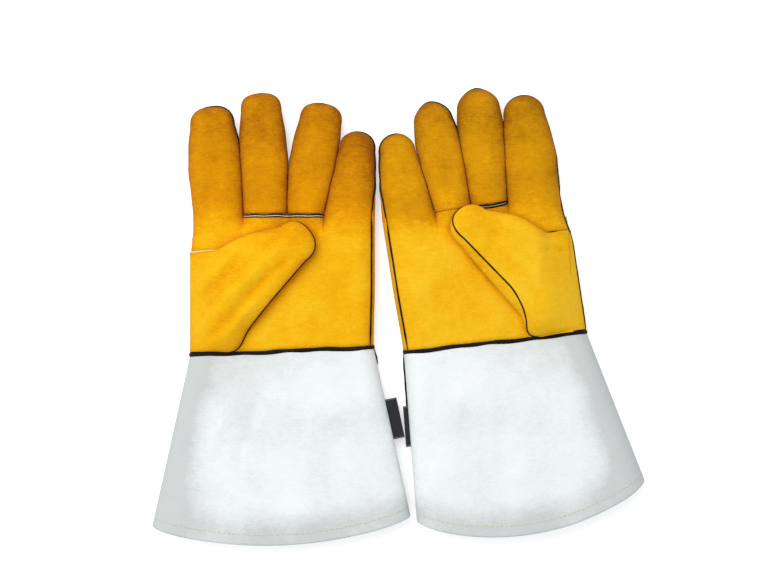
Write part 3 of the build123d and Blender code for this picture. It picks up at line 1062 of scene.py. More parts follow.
for glove in GLOVES.values():
    make_hand(glove)
THUMB_PIECES = {}
for side, glove in GLOVES.items():
    thumb = THUMB[side]
    grid, ahead, arc = thumb_front(glove, thumb)
    # Painted shade: the thumb's tone falls towards its edges, where its surface turns down.
    tone = leather_tone(glove, grid[..., 0], grid[..., 1], 0.4 + 0.6 * np.clip(arc * 2, 0, 1))
    tone = np.maximum(tone, 0.70) + (-0.06 if side == "left" else 0.04)
    tone = tone - 0.30 * (1 - np.clip(arc, 0, 1)) ** 3
    # Painted shade in the dips of the thumb's folds, and painted light on their ridges.
    tone = tone + 0.07 * thumb_relief(glove, grid[..., 0], grid[..., 1])
    front = leather_sheet(f"{side}_thumb_front_leather", grid, LEATHER, glove, tone)
    back = leather_sheet(f"{side}_thumb_back_leather", thumb_back(glove, thumb), LEATHER, glove, 0.75)
    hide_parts(glove.body("thumb_front"), glove.body("thumb_root"))
    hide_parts(glove.body("thumb_back"))
    for piece in (front, back):
        bend_thumb(glove, piece)
    THUMB_PIECES[side] = (grid, ahead)

# %% [markdown]
# ## Cuffs
#
# The cuff is one large piece of pale split leather, wrapped round and sewn up on the little finger's
# side. Straight lines run from the wrist seam to the hem, so the surface is ruled: the place of a point
# is (1 - v) times its place at the wrist plus v times its place at the hem. The hem is an arc, because
# the piece is cut from a flat ring segment. At the hem the leather rolls over and goes back up inside,
# and that is the same grid carried on round a small half circle.

# %% Cuff surfaces
CUFF_ROWS = 90
CUFF_COLUMNS = 150
ROLL_RADIUS = 1.6
HEM_TURN = 9.0
CUFF_SAG = 1.6
CUFF_BEND = 28.0
ROLLED_UNDER = 0.085
CUFF_CREASES = {
    "left": [
        ((-20, -8), (-62, -88), 6.0, 1.2),
        ((-8, -10), (-36, -92), 4.5, -1.2),
        ((34, -12), (66, -96), 7.0, 1.0),
        ((52, -12), (70, -60), 4.0, -1.0),
        ((-64, -30), (-84, -120), 6.0, -1.1),
        ((10, -60), (40, -140), 10.0, -0.9),
        ((-60, -110), (20, -130), 9.0, 0.7),
        ((-10, -30), (20, -70), 6.0, 0.8),
    ],
    "right": [
        ((-30, -10), (-56, -70), 6.0, 1.2),
        ((-16, -14), (-30, -60), 4.0, -1.1),
        ((-60, -60), (-84, -118), 7.0, -1.0),
        ((30, -14), (52, -100), 8.0, 0.9),
        ((0, -50), (14, -130), 9.0, -0.9),
        ((54, -30), (66, -90), 5.0, -0.9),
        ((-50, -90), (30, -112), 9.0, 0.7),
    ],
}


print("creases", {side: len(lines) for side, lines in CUFF_CREASES.items()})

# %% The cuff's corners and surface
HEM_SHIFT = {"left": (5.0, 3.0), "right": (0.0, 0.0)}  # the hem lies higher, and its corner further out


class Cuff:
    """The cuff's corners, hem arc and mouth, measured from its CAD node."""

    def __init__(self, glove):
        points = glove.points("cuff_panel")
        self.thumb_corner = points[points[:, 0].argmin()][:2]
        self.little_corner = points[points[:, 0].argmax()][:2]
        self.middle_x = (self.thumb_corner[0] + self.little_corner[0]) / 2
        higher, wider = HEM_SHIFT[glove.side]
        self.thumb_corner = self.thumb_corner + [0, 0.5 * higher]
        self.little_corner = self.little_corner + [wider, 0]
        lowest = np.array([self.middle_x, points[:, 1].min() + higher])
        three = np.array([self.thumb_corner, lowest, self.little_corner])
        self.arc_centre, self.arc_radius = circle_through(three)
        self.depth = float(points[:, 2].max())

    def hem_at(self, x):
        """The hem's arc: centre y minus the root of radius^2 - (x - centre x)^2."""
        return self.arc_centre[1] - np.sqrt(self.arc_radius**2 - (x - self.arc_centre[0]) ** 2)


def cuff_surface(glove, cuff, p, v, inset=0.0):
    """Points of the cuff's outside at p round the section and v from the wrist to the hem."""
    q = (p + 2) % 4 - 2
    top = np.abs(q) <= 1
    rounding = np.where(top, HAND_ROUNDING, BACK_ROUNDING) * np.ones_like(v)
    wrist_across, arc = section(q, glove.half_width, 1.0, rounding)
    hem_half = (cuff.little_corner[0] - cuff.thumb_corner[0]) / 2
    hem_across = section(q, hem_half, 1.0, rounding)[0]
    wrist_x = wrist_across * (1 - inset / glove.half_width)
    hem_x = cuff.middle_x + hem_across * (1 - inset / hem_half)
    x = (1 - v) * wrist_x + v * hem_x
    y = (1 - v) * (wrist_line(glove, wrist_x) - 0.9) + v * cuff.hem_at(hem_x)
    depth = (1 - v) * glove.depth + v * cuff.depth
    share = np.abs(arc)
    soft = (1 - step(v, 0, 0.3)) * hand_softness(glove, x, y)
    cuff_soft = 0.9 * swell(x, y, 41 if glove.side == "left" else 57, 24.0, 90.0)
    cuff_soft = with_creases(cuff_soft, x, y, CUFF_CREASES[glove.side])
    soft = soft + step(v, 0, 0.3) * cuff_soft
    above = share * (depth / 2 - inset + soft * share)
    sag = -CUFF_SAG * np.sin(np.pi * np.clip(v, 0, 1)) * share
    below = (depth / 2 - inset) * share**0.85
    z = depth / 2 + np.where(top, above + sag, -below) + 0.06
    return np.stack(np.broadcast_arrays(x, y, z), axis=-1)

print("cuff grid", CUFF_ROWS, "by", CUFF_COLUMNS)

# %% The cuff's leather
CUFF_ROLL = {"left": (0.03, 0.14), "right": (0.30, 0.50)}  # where down the cuff its side seam rolls under


def cuff_rolled(glove, v):
    """How far the side seam has rolled under the cuff's side at v."""
    return ROLLED_UNDER * step(v, *CUFF_ROLL[glove.side])


def make_cuff(glove, cuff):
    """The wrapped leather with its rolled hem, in one sheet, open along the little finger's side."""
    v = np.linspace(0, 1, CUFF_ROWS)[:, None]
    p = np.linspace(1, -3, CUFF_COLUMNS)[None, :] + cuff_rolled(glove, v)
    body = cuff_surface(glove, cuff, p, v)
    normals = normals_of(body)[0][-1]
    down = unit(body[-1] - body[-2])
    angle = np.linspace(0, np.pi, 9)[1:, None, None]
    roll = body[-1] - normals * ROLL_RADIUS * (1 - np.cos(angle)) + down * ROLL_RADIUS * np.sin(angle)
    back_up = np.linspace(0, HEM_TURN, 7)[1:, None, None]
    grid = np.concatenate([body, roll, roll[-1] - down * back_up])
    x, y = grid[..., 0], grid[..., 1]
    # Painted shade along the soft fold on the thumb's side, where the cuff's surface turns down.
    flare = (cuff.thumb_corner[0] + glove.half_width) * -y / 150.0
    fold_shade = 1 - step(x - flare, -glove.half_width, -38.0)
    tone = 0.68 + 0.17 * swell(x, y, 71, 22.0, 80.0) - 0.95 * fold_shade
    # Painted shade above the rolled hem, where the leather turns over.
    tone = tone - 0.52 * step(cuff.hem_at(np.clip(x, -99, 99)) - y, -30.0, -6.0)
    # Darker by the wrist on the thumb's side.
    tone = tone - 0.34 * (1 - step(-y, 6.0, 50.0)) * (1 - step(x, -30.0, 40.0))
    piece = leather_sheet(f"{glove.side}_cuff_leather", grid, LEATHER, glove, tone)
    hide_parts(glove.body("cuff_panel"), glove.body("cuff_hem"))
    bend_cuff(glove, piece)
    return piece


def bend_cuff(glove, piece):
    """Bakes the piece's transform into its mesh; the stretch below the wrist seam is worked out but not
    used.
    """
    start, end = glove.place([[0, -0.5, glove.depth], [0, -CUFF_BEND, glove.depth]])
    glove.body("hand")
    glove.body("cuff")
    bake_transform(piece)


CUFF = {side: Cuff(glove) for side, glove in GLOVES.items()}
CUFF_PIECES = {side: make_cuff(glove, CUFF[side]) for side, glove in GLOVES.items()}
for side, cuff in CUFF.items():
    corners = (cuff.thumb_corner.round(1), cuff.little_corner.round(1))
    print(side, "cuff corners", *corners, "hem radius", round(cuff.arc_radius))

# %% [markdown]
# ## Linings
#
# A fleece lining shows at the mouth of each cuff, and fills the glove out. Each stretch is a closed tube
# by the same formulas as the leather outside it, a little smaller. The fingers' linings run on down into
# the hand, where there is room for them beside each other, and the hand's lining ends before that.

# %% Lining tubes
LINING = 0.9
LINING_INSET = 2.3
THUMB_LINING_FROM = 12
THUMB_LINING_INSET = 1.5  # over and above the other linings' inset
THUMB_LINING_THIN = 4.2  # how much lower than the thumb on each side
THUMB_LINING_ROUNDING = 0.6
ALL_ROUND = np.linspace(2, -2, 97)[:-1]


def line_finger(glove, finger):
    """A finger's lining, from inside the hand to the tip."""
    rows = [v[:-3] for v in finger_rows(glove, finger, LINING_INSET)]
    grid = press(glove, finger, tube(ALL_ROUND, *rows), LINING_INSET)
    down = np.linspace(20, 0, 9)[:-1, None, None] * np.array([0, 1, 0])
    grid = np.concatenate([grid[0] - down, grid])
    piece = leather_sheet(f"{glove.side}_{finger.name}_fleece", grid, LINING, glove, closed=True)
    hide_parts(glove.body(f"{finger.name}_lining"))
    bend_finger(glove, piece, finger)
    return piece


def line_thumb(glove, thumb):
    """The thumb's lining, past the fold line."""
    centre, sideways, width, ahead, cap = thumb_rows(glove, thumb, LINING_INSET + THUMB_LINING_INSET)
    keep = (ahead > THUMB_LINING_FROM) & (cap > 0.3)
    centre, sideways, width, ahead, cap = (v[keep] for v in (centre, sideways, width, ahead, cap))
    depth = ((thumb.roof - thumb.floor) / 2 - THUMB_LINING_THIN) * cap
    middle = np.full(len(width), thumb.middle)
    grid = tube(ALL_ROUND, centre, sideways, width, depth, middle, THUMB_LINING_ROUNDING * width)
    piece = leather_sheet(f"{glove.side}_thumb_fleece", grid, LINING, glove, closed=True)
    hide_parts(glove.body("thumb_lining"))
    bend_thumb(glove, piece)
    return piece


def line_hand(glove):
    """The hand's lining: the palm's and the back's surfaces, drawn in by the inset."""
    y = np.linspace(0, 1, 40)[:, None]
    q = (ALL_ROUND + 2) % 4 - 2
    across = section(q, glove.half_width, 1.0, HAND_ROUNDING)[0][None, :]
    low = wrist_line(glove, across)
    y = low + (glove.length - VALLEY * 0.7 - low) * y
    x = np.broadcast_to(across, y.shape)
    z = np.where(on_top(ALL_ROUND), palm_height(glove, x, y), back_height(glove, x, y))
    shrink = 1 - LINING_INSET / glove.middle
    z = glove.middle + (z - glove.middle) * shrink
    grid = np.stack([x * (1 - LINING_INSET / glove.half_width), y, z], axis=-1)
    piece = leather_sheet(f"{glove.side}_hand_fleece", grid, LINING, glove, closed=True)
    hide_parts(glove.body("hand_lining"))
    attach(piece, glove.body("hand"))
    return piece


def line_cuff(glove, cuff):
    """The cuff's lining, from the wrist to the turned-in hem."""
    v = np.linspace(0, 0.985 - (HEM_TURN - 2) / abs(cuff.hem_at(cuff.middle_x)), 70)[:, None]
    grid = cuff_surface(glove, cuff, ALL_ROUND[None, :], v, LINING_INSET)
    piece = leather_sheet(f"{glove.side}_cuff_fleece", grid, LINING, glove, closed=True)
    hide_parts(glove.body("cuff_lining"))
    bend_cuff(glove, piece)
    return piece


FLEECE = []
for side, glove in GLOVES.items():
    FLEECE += [line_finger(glove, finger) for finger in FINGER[side].values()]
    FLEECE += [line_thumb(glove, THUMB[side]), line_hand(glove), line_cuff(glove, CUFF[side])]
print(len(FLEECE), "linings")

# %% [markdown]
# ## Welts
#
# A welt is a narrow dark strip of leather sewn in between two pieces, so that the stitches are covered
# and the seam wears longer. What shows of it is a low bead that wavers in width as the strip was fed in
# by hand. It is an oval carried along the seam's line. Its width varies by a sum of sines of the place,
# and each end narrows to a point inside the next seam.

# %% Welts along the seams


def outward_of(path):
    """Unit vectors square to a path in the plan, pointing to its right."""
    along = np.gradient(path[:, :2], axis=0)
    return np.column_stack([unit(np.column_stack([along[:, 1], -along[:, 0]])), np.zeros(len(path))])


def welt(name, path, glove, half_width, half_height, proud, sideways=None):
    """A bead along a path, moved out of the seam by proud, with a wavering width and pointed ends."""
    if sideways is None:
        sideways = outward_of(path)
    waver = 1 + 0.16 * swell(path[:, 0], path[:, 1], 83, 5.0, 19.0, 7)
    count = np.arange(len(path))
    ends = np.minimum(count, count[::-1])
    taper = 0.35 + 0.65 * step(ends, 0, 5)
    middle = path + sideways * proud
    return strip(name, middle, sideways, half_width * waver * taper, half_height * taper, glove)


def join(pieces, name):
    """One object from several, without operators: their meshes are put together in a bmesh."""
    work = bmesh.new()
    for piece in pieces:
        work.from_mesh(piece.data)
    mesh = bpy.data.meshes.new(name)
    work.to_mesh(mesh)
    work.free()
    for piece in pieces:
        mesh_left = piece.data
        bpy.data.objects.remove(piece)
        bpy.data.meshes.remove(mesh_left)
    joined = bpy.data.objects.new(name, mesh)
    bpy.context.scene.collection.objects.link(joined)
    return joined

print("right of a line that runs along +Y:", outward_of(np.array([[0.0, 0, 0], [0, 1, 0], [0, 2, 0]]))[0])

# %% The lines of the seams


def edge_path(glove, finger):
    """The line where a finger's front and back meet: up its thumb side, over the tip and down again."""
    rows = finger_rows(glove, finger)
    p = front_columns(glove, finger, finger_t(rows))[:, [0, -1]]
    edges, _ = soften(glove, lay_flat(glove, press(glove, finger, tube(p, *rows), 0.6)))
    return np.vstack([edges[:-1, 0], edges[::-1, 1]])


def welt_finger(glove, finger):
    """The welt round one finger."""
    path = edge_path(glove, finger)
    name = f"{glove.side}_{finger.name}_bead"
    piece = welt(name, path, glove, 0.75, 0.6, 0.15, sideways=-outward_of(path))
    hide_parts(glove.body(f"{finger.name}_welt"))
    bend_finger(glove, piece, finger)
    return piece


def hand_side_path(glove, p):
    """The side seam of the hand, at p round its section, from the wrist to the finger's base."""
    finger = FINGER[glove.side]["little" if p > 0 else "index"]
    x = across_base(finger, np.array([p]))[0]
    y = np.linspace(wrist_line(glove, x), glove.length, 50)
    x = down_the_hand(glove, x, y)
    z = palm_height(glove, x, y) if abs(p) <= 1 else back_height(glove, x, y)
    return np.column_stack([x, y, z])


def seam_over_palm(glove, start, end):
    """A straight line laid on the palm, wavering sideways a little."""
    t = np.linspace(0, 1, 90)[:, None]
    flat = np.array(start) + (np.array(end) - np.array(start)) * t
    flat[:, 1] += 0.45 * swell(flat[:, 0], flat[:, 1], 97, 9.0, 26.0)
    z = palm_height(glove, flat[:, 0], flat[:, 1])
    return np.column_stack([flat, z + 0.25])


def wrist_ring(glove):
    """The wrist seam's line all round the glove, and the directions out of the surface."""
    q = np.linspace(2, -2, 161)
    across, arc = section(q, glove.half_width, 1.0, HAND_ROUNDING)
    y = wrist_line(glove, across) + 0.1
    top = on_top(q)
    z = np.where(top, palm_height(glove, across, y), back_height(glove, across, y))
    path = np.column_stack([across, y, z])
    along = unit(np.gradient(path, axis=0))
    sideways = np.broadcast_to([0.0, 1.0, 0.0], path.shape)
    outwards = unit(np.cross(sideways, along))
    if np.sum(outwards * (path - [0, 0, glove.middle])) < 0:
        outwards = -outwards
    return path, np.array(sideways), outwards


for glove in GLOVES.values():
    print(glove.side, "wrist seam points:", len(wrist_ring(glove)[0]))

# %% The welts of each part
BASE_SEAM = {  # its last finger, the curl at its start, its two welts' widths and its pale line's: cream thread on the left, a painted highlight on the right
    "left": ("ring", 0.0, (0.62, 0.45), 0.38),
    "right": ("middle", 3.4, (0.85, 0.75), 0.2),
}


def welt_hand(glove):
    """The welts of one hand: down both sides, round the wrist, and below the two middle fingers."""
    fingers = FINGER[glove.side]
    low = -1 + seams(glove, fingers["index"])[0]
    high = 1 - seams(glove, fingers["little"])[1]
    path = hand_side_path(glove, low)
    pieces = [welt("side_a", path, glove, 0.75, 0.6, 0.15, sideways=-outward_of(path))]
    path = hand_side_path(glove, high)
    pieces.append(welt("side_b", path, glove, 0.85, 0.6, 0.1))
    ring, sideways, outwards = wrist_ring(glove)
    waver = 1 + 0.25 * swell(ring[:, 0], ring[:, 1] + ring[:, 2], 89, 6.0, 24.0)
    pieces.append(strip("wrist", ring + outwards * 0.1, sideways, 1.55 * waver, 0.75, glove, outwards))
    edge = glove.length - 0.7
    last, curl, widths, thread_and_highlight_width = BASE_SEAM[glove.side]
    start = (fingers["middle"].base[0] - 0.6, edge)
    end = (fingers[last].base[1] + 0.6, edge)
    for k, (drop, width) in enumerate(zip((0.0, -1.75), widths)):
        path = seam_over_palm(glove, (start[0], edge + drop), (end[0], edge + drop))
        path[:, 1] += curl * np.exp(-(path[:, 0] - start[0]) / 2.2)
        pieces.append(welt(f"base_{k}", path, glove, width, 0.5, 0.0))
    piece = join(pieces, f"{glove.side}_hand_beads")
    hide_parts(glove.body("hand_welts"))
    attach(piece, glove.body("hand"))
    # A pale line along the base seam: cream thread on the left glove, and on the right, thinner, a painted
    # highlight on the black welt.
    pale = seam_over_palm(glove, (start[0] + 1, edge - 0.95), (end[0] - 1, edge - 0.95))
    pale[:, 1] += curl * np.exp(-(pale[:, 0] - start[0]) / 2.2)
    thread = welt(f"{glove.side}_base_thread", pale, glove, thread_and_highlight_width, 0.35, 0.0)
    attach(thread, glove.body("hand"))
    return piece, thread


def welt_thumb(glove, grid, ahead):
    """The thumb's welt, up its lower side from the wrist and round the tip, and the edge above its root."""
    middle = grid.shape[1] // 2
    path = np.vstack([grid[:-1, 0], grid[:-14:-1, -1]])
    centre = np.vstack([grid[:-1, middle], grid[:-14:-1, middle]])
    out = outward_of(path)
    toward = (path - centre)[:, :2]
    out = out * np.where(np.sum(out[:, :2] * toward, axis=1, keepdims=True) < -0.1, -1, 1)
    piece = welt(f"{glove.side}_thumb_bead", path - [0, 0, 0.15], glove, 0.7, 0.6, 0.1, sideways=out)
    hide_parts(glove.body("thumb_welt"))
    bend_thumb(glove, piece)
    root = grid[: int(np.argmax(ahead > 4)), -1]
    raised = root + [0, 0.2, -0.1]
    edge = welt(f"{glove.side}_root_edge", raised, glove, 0.75, 0.55, 0.0, sideways=outward_of(root))
    bend_thumb(glove, edge)
    return piece, edge


def welt_cuff(glove, cuff):
    """The welt down the cuff's side seam."""
    v = np.linspace(0, 1, 90)[:, None]
    path = cuff_surface(glove, cuff, 1 + cuff_rolled(glove, v), v)[:, 0]
    piece = welt(f"{glove.side}_cuff_bead", path, glove, 1.2, 0.8, 0.2, sideways=-outward_of(path))
    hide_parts(glove.body("cuff_welt"))
    bend_cuff(glove, piece)
    return piece


WELTS, THREADS_AND_HIGHLIGHT, RAW_EDGES = [], [], []
for side, glove in GLOVES.items():
    WELTS += [welt_finger(glove, finger) for finger in FINGER[side].values()]
    hand, thread = welt_hand(glove)
    thumb, edge = welt_thumb(glove, *THUMB_PIECES[side])
    WELTS += [hand, thumb, welt_cuff(glove, CUFF[side])]
    (RAW_EDGES if side == "left" else WELTS).append(edge)
    THREADS_AND_HIGHLIGHT.append(thread)
print(len(WELTS), "welts")

# %% [markdown]
# ## Stitches
#
# A row of cream lockstitches holds the turned hem, and shows as short dashes sunk a little into the
# leather. Each dash is the same small capsule, of a few dozen faces, set down along the seam's line.

# %% Stitches along the hem
STITCH_LONG = 2.7
STITCH_GAP = 1.1
STITCH_THICK = 0.5
HEM_SEAM = 7.0


def capsules(name, centres, alongs, outs, glove, sides=6):
    """One capsule for each centre: an oval of revolution's rings, swept along, drawn as one mesh."""
    station = np.array([-1.0, -0.86, -0.4, 0.4, 0.86, 1.0])
    radius = np.array([0.02, 0.62, 1.0, 1.0, 0.62, 0.02]) * STITCH_THICK
    arch = 0.25 * STITCH_THICK * (1 - station**2)
    angle = np.arange(sides) * 2 * np.pi / sides
    across = np.cross(outs, alongs)
    ring = across[:, None, None] * np.cos(angle)[None, None, :, None]
    ring = ring + outs[:, None, None] * np.sin(angle)[None, None, :, None]
    reach = (station * STITCH_LONG / 2)[None, :, None, None]
    line = centres[:, None, None] + alongs[:, None, None] * reach
    line = line + outs[:, None, None] * arch[None, :, None, None]
    points = line + ring * radius[None, :, None, None]
    points[..., 2] = np.maximum(points[..., 2], 0.03)
    one = quads_of(len(station), sides, closed=True)
    count = len(station) * sides
    quads = (one[None] + (np.arange(len(centres)) * count)[:, None, None]).reshape(-1, 4)
    return build_mesh(name, points.reshape(-1, 3), quads, glove, True)


def hem_stitches(glove, cuff, top):
    """Centres, directions and normals of a row of stitches along the hem, on the top or underneath."""
    q = np.linspace(-0.955, 0.955, 600)
    p = q if top else np.where(q < 0, -2 - q, 2 - q)
    hem = cuff.hem_at(cuff.middle_x + q * (cuff.little_corner[0] - cuff.thumb_corner[0]) / 2)
    v = 1 - HEM_SEAM / np.abs(hem)
    line = cuff_surface(glove, cuff, p[:, None], v[:, None])[:, 0]
    long = lengths_along(line)
    even = np.arange(2.0, long[-1] - 2.0, STITCH_LONG + STITCH_GAP)
    centres = np.column_stack([np.interp(even, long, line[:, i]) for i in range(3)])
    ahead = np.column_stack([np.interp(even + 0.5, long, line[:, i]) for i in range(3)])
    alongs = unit(ahead - centres)
    wobble = 0.22 * np.sin(np.arange(len(even)) * 2.4)[:, None] * np.array([0.0, 1.0, 0.0])
    outs = unit(np.cross(alongs, np.array([0.0, 1.0, 0.0])))
    outs = outs * np.where((outs[:, 2:] > 0) == top, 1, -1)
    centres = centres + wobble + outs * 0.06
    return centres, alongs, outs


for side, glove in GLOVES.items():
    rows = [hem_stitches(glove, CUFF[side], top) for top in (True, False)]
    centres, alongs, outs = (np.concatenate(part) for part in zip(*rows))
    piece = capsules(f"{side}_hem_stitches", centres, alongs, outs, glove)
    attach(piece, glove.body("cuff"))
    THREADS_AND_HIGHLIGHT.append(piece)
    print(side, len(centres), "stitches")

# %% [markdown]
# ## Labels
#
# A folded end of plain black woven tape is caught in the cuff's side seam below the wrist. It carries no
# lettering. The tape is one thin sheet that goes out from the seam, folds back on itself in a small half
# circle, and returns into the seam, so its profile is a long narrow U carried along the seam.

# %% The tape labels
TAPE = 0.22
TAPE_FOLD = 0.22


def make_label(glove):
    """The U of the tape: out along the side, round the fold, and back, for rows down the seam."""
    points = glove.points("cuff_label")
    headings = ((-1, 2), (3, 1), (1, -2), (-3, -1))
    corners = [points[(points @ np.array([a, b, 0])).argmax()] for a, b in headings]
    start, end = corners[0], corners[3]
    start[2] = end[2] = points[:, 2].mean()
    out = unit(corners[1] * [1, 1, 0] - corners[0] * [1, 1, 0])
    reach = float(np.linalg.norm((corners[1] - corners[0])[:2])) - TAPE_FOLD
    t = np.linspace(0, 1, 16)
    turn = np.linspace(-np.pi / 2, np.pi / 2, 9)[1:-1]
    across = np.concatenate([t * reach, reach + TAPE_FOLD * np.cos(turn), t[::-1] * reach])
    rise = np.concatenate([np.full(16, -TAPE_FOLD), TAPE_FOLD * np.sin(turn), np.full(16, TAPE_FOLD)])
    v = np.linspace(0, 1, 40)[:, None]
    line = start + (end - start) * v
    curl = 0.5 * np.sin(2.6 * v * np.pi + 0.5) * (across / reach) ** 2
    grid = line[:, None, :] + out * across[None, :, None]
    grid[..., 2] += rise[None, :] + curl
    edge_tone = np.broadcast_to(np.minimum(v, 1 - v) * 2, grid.shape[:2])
    piece = leather_sheet(f"{glove.side}_tape_label", grid, TAPE * 0.7, glove, edge_tone)
    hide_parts(glove.body("cuff_label"))
    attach(piece, glove.body("cuff"))
    glove.body("cuff_bead")
    return piece


LABELS = [make_label(glove) for glove in GLOVES.values()]

# %% [markdown]
# ## Split leather, in nodes
#
# Split leather has no smooth grain side: it is napped like coarse suede. Close up it shows short fibres
# brushed in one direction, blotches where the nap lies another way, and pits where the hide was uneven.
# Four noises do that, all on Object coordinates: large blotches and small mottling for the colour, a
# stretched fine noise for the fibres, and a grain for the bump. The tone of the place shifts the colour.

# %% Material helpers


def material(name):
    """A new material with nodes."""
    made = bpy.data.materials.new(name)
    made.use_nodes = True
    return made, made.node_tree.nodes, made.node_tree.links


def surface(name):
    """A new material, with its shader and the Object coordinates in metres that its noises follow."""
    made, nodes, links = material(name)
    return made, nodes, links, nodes["Principled BSDF"], nodes.new("ShaderNodeTexCoord").outputs["Object"]


def set_inputs(node, values):
    """Sets a node's plain inputs by name."""
    for name, value in values.items():
        node.inputs[name].default_value = value


def noise(nodes, links, place, scale, detail=3.0, roughness=0.55, stretch=None, turn=0.0):
    """A noise, stretched and turned by a Mapping where a nap has a direction."""
    source = place
    if stretch is not None:
        mapping = nodes.new("ShaderNodeMapping")
        set_inputs(mapping, {"Scale": stretch, "Rotation": (0, 0, turn)})
        links.new(place, mapping.inputs["Vector"])
        source = mapping.outputs["Vector"]
    node = nodes.new("ShaderNodeTexNoise")
    set_inputs(node, {"Scale": scale, "Detail": detail, "Roughness": roughness})
    links.new(source, node.inputs["Vector"])
    return node.outputs["Fac"]


def maths(nodes, links, operation, *values):
    """One Math node, fed with numbers and with the outputs of other nodes."""
    node = nodes.new("ShaderNodeMath")
    node.operation = operation
    for k, value in enumerate(values):
        if isinstance(value, (int, float)):
            node.inputs[k].default_value = value
        else:
            links.new(value, node.inputs[k])
    return node.outputs[0]


def weighted(nodes, links, *pairs):
    """The sum of (value - 0.5) times weight, plus 0.5."""
    total = 0.5
    for value, weight in pairs:
        part = maths(nodes, links, "MULTIPLY_ADD", value, weight, -0.5 * weight)
        total = maths(nodes, links, "ADD", part, total)
    return total


def ramp(nodes, links, value, stops):
    """A Color Ramp through a list of positions and linear colours."""
    node = nodes.new("ShaderNodeValToRGB")
    for element, (position, colour) in zip(node.color_ramp.elements, (stops[0], stops[-1])):
        element.position, element.color = position, (*colour, 1)
    for position, colour in stops[1:-1]:
        node.color_ramp.elements.new(position).color = (*colour, 1)
    links.new(value, node.inputs["Fac"])
    return node.outputs["Color"]


def bump(nodes, links, height, distance, strength, under=None):
    """A Bump of a height in metres, on top of another one where it is given."""
    node = nodes.new("ShaderNodeBump")
    set_inputs(node, {"Distance": distance, "Strength": strength})
    links.new(height, node.inputs["Height"])
    if under is not None:
        links.new(under, node.inputs["Normal"])
    return node.outputs["Normal"]

# %% Split leather's own nodes
TONE_WEIGHT = 0.95


def split_leather(name, stops, sheen, turn=0.0):
    """Napped leather: a ramp of colours driven by tone and four noises, and a two-level bump."""
    made, nodes, links, shader, place = surface(name)
    blotch = noise(nodes, links, place, 24.0, 2.0)
    mottle = noise(nodes, links, place, 150.0, 4.0, 0.62)
    streak = noise(nodes, links, place, 150.0, 2.0, 0.5, (1.0, 5.0, 1.0), turn)
    fibre = noise(nodes, links, place, 420.0, 3.0, 0.6, (1.0, 3.4, 1.0), turn)
    grain = noise(nodes, links, place, 1300.0, 2.0, 0.6)
    pairs = [(blotch, 0.42), (mottle, 0.34), (streak, 0.22), (fibre, 0.36), (grain, 0.24)]
    attribute = nodes.new("ShaderNodeAttribute")
    attribute.attribute_name = "tone"
    pairs.append((attribute.outputs["Fac"], TONE_WEIGHT))
    value = weighted(nodes, links, *pairs)
    links.new(ramp(nodes, links, value, stops), shader.inputs["Base Color"])
    coarse = bump(nodes, links, mottle, 0.0011, 0.5)
    height = weighted(nodes, links, (fibre, 0.7), (grain, 0.5))
    links.new(bump(nodes, links, height, 0.0005, 0.6, coarse), shader.inputs["Normal"])
    set_inputs(shader, {"Roughness": 0.93, "Specular IOR Level": 0.05})
    set_inputs(shader, {"Sheen Weight": sheen, "Sheen Roughness": 0.6})
    return made


print("weight of the tone:", TONE_WEIGHT)

# %% [markdown]
# The welts are thin black leather, smoother than the split and slightly shiny. The thread is twisted
# cotton, the lining is a grey fleece of small tufts, and the tape is woven, so that fine ribs run across
# it and its two long edges are a little paler.

# %% Materials of this pair
GOLD = {
    "left": split_leather(
        "gold_split_leather",
        [
            (0.08, (0.34, 0.105, 0.001)),
            (0.35, (0.61, 0.235, 0.001)),
            (0.52, (0.745, 0.30, 0.001)),
            (0.68, (0.86, 0.40, 0.002)),
            (0.82, (0.90, 0.475, 0.006)),
            (0.98, (0.92, 0.545, 0.016)),
        ],
        0.02,
    ),
    "right": split_leather(
        "gold_split_leather_second_hide",
        [
            (0.08, (0.32, 0.12, 0.001)),
            (0.35, (0.58, 0.25, 0.002)),
            (0.52, (0.70, 0.315, 0.002)),
            (0.68, (0.85, 0.42, 0.004)),
            (0.82, (0.90, 0.49, 0.010)),
            (0.98, (0.92, 0.555, 0.022)),
        ],
        0.02,
    ),
}
PALE = split_leather(
    "pale_split_leather",
    [
        (0.1, (0.60, 0.635, 0.62)),
        (0.4, (0.74, 0.78, 0.765)),
        (0.7, (0.86, 0.905, 0.90)),
        (0.97, (0.91, 0.94, 0.94)),
    ],
    0.1,
    0.5,
)


print(*(made.name for made in (*GOLD.values(), PALE)))

# %% Welting, threads, fleece and tape


def black_welting():
    """Thin black leather, mottled, and worn brown in places."""
    made, nodes, links, shader, place = surface("black_welting")
    mottle = noise(nodes, links, place, 260.0, 3.0)
    wear = noise(nodes, links, place, 45.0, 2.0)
    value = weighted(nodes, links, (mottle, 0.8), (wear, 0.9))
    stops = [(0.25, (0.004, 0.003, 0.003)), (0.6, (0.012, 0.008, 0.006)), (0.95, (0.045, 0.026, 0.018))]
    links.new(ramp(nodes, links, value, stops), shader.inputs["Base Color"])
    links.new(bump(nodes, links, mottle, 0.0006, 0.5), shader.inputs["Normal"])
    set_inputs(shader, {"Roughness": 0.72, "Specular IOR Level": 0.12})
    return made


def cotton(name, dark, light, scale, tufts, roughness=0.9):
    """Fibres: a fine noise for the colour and the bump, and for fleece a coarser one for its tufts."""
    made, nodes, links, shader, place = surface(name)
    fine = noise(nodes, links, place, scale, 2.0)
    tuft = noise(nodes, links, place, scale / 6, 3.0)
    value = weighted(nodes, links, (fine, 0.8), (tuft, tufts))
    links.new(ramp(nodes, links, value, [(0.2, dark), (0.8, light)]), shader.inputs["Base Color"])
    links.new(bump(nodes, links, value, 0.0008, 0.6), shader.inputs["Normal"])
    set_inputs(shader, {"Roughness": roughness, "Specular IOR Level": 0.15, "Sheen Weight": 0.15})
    return made


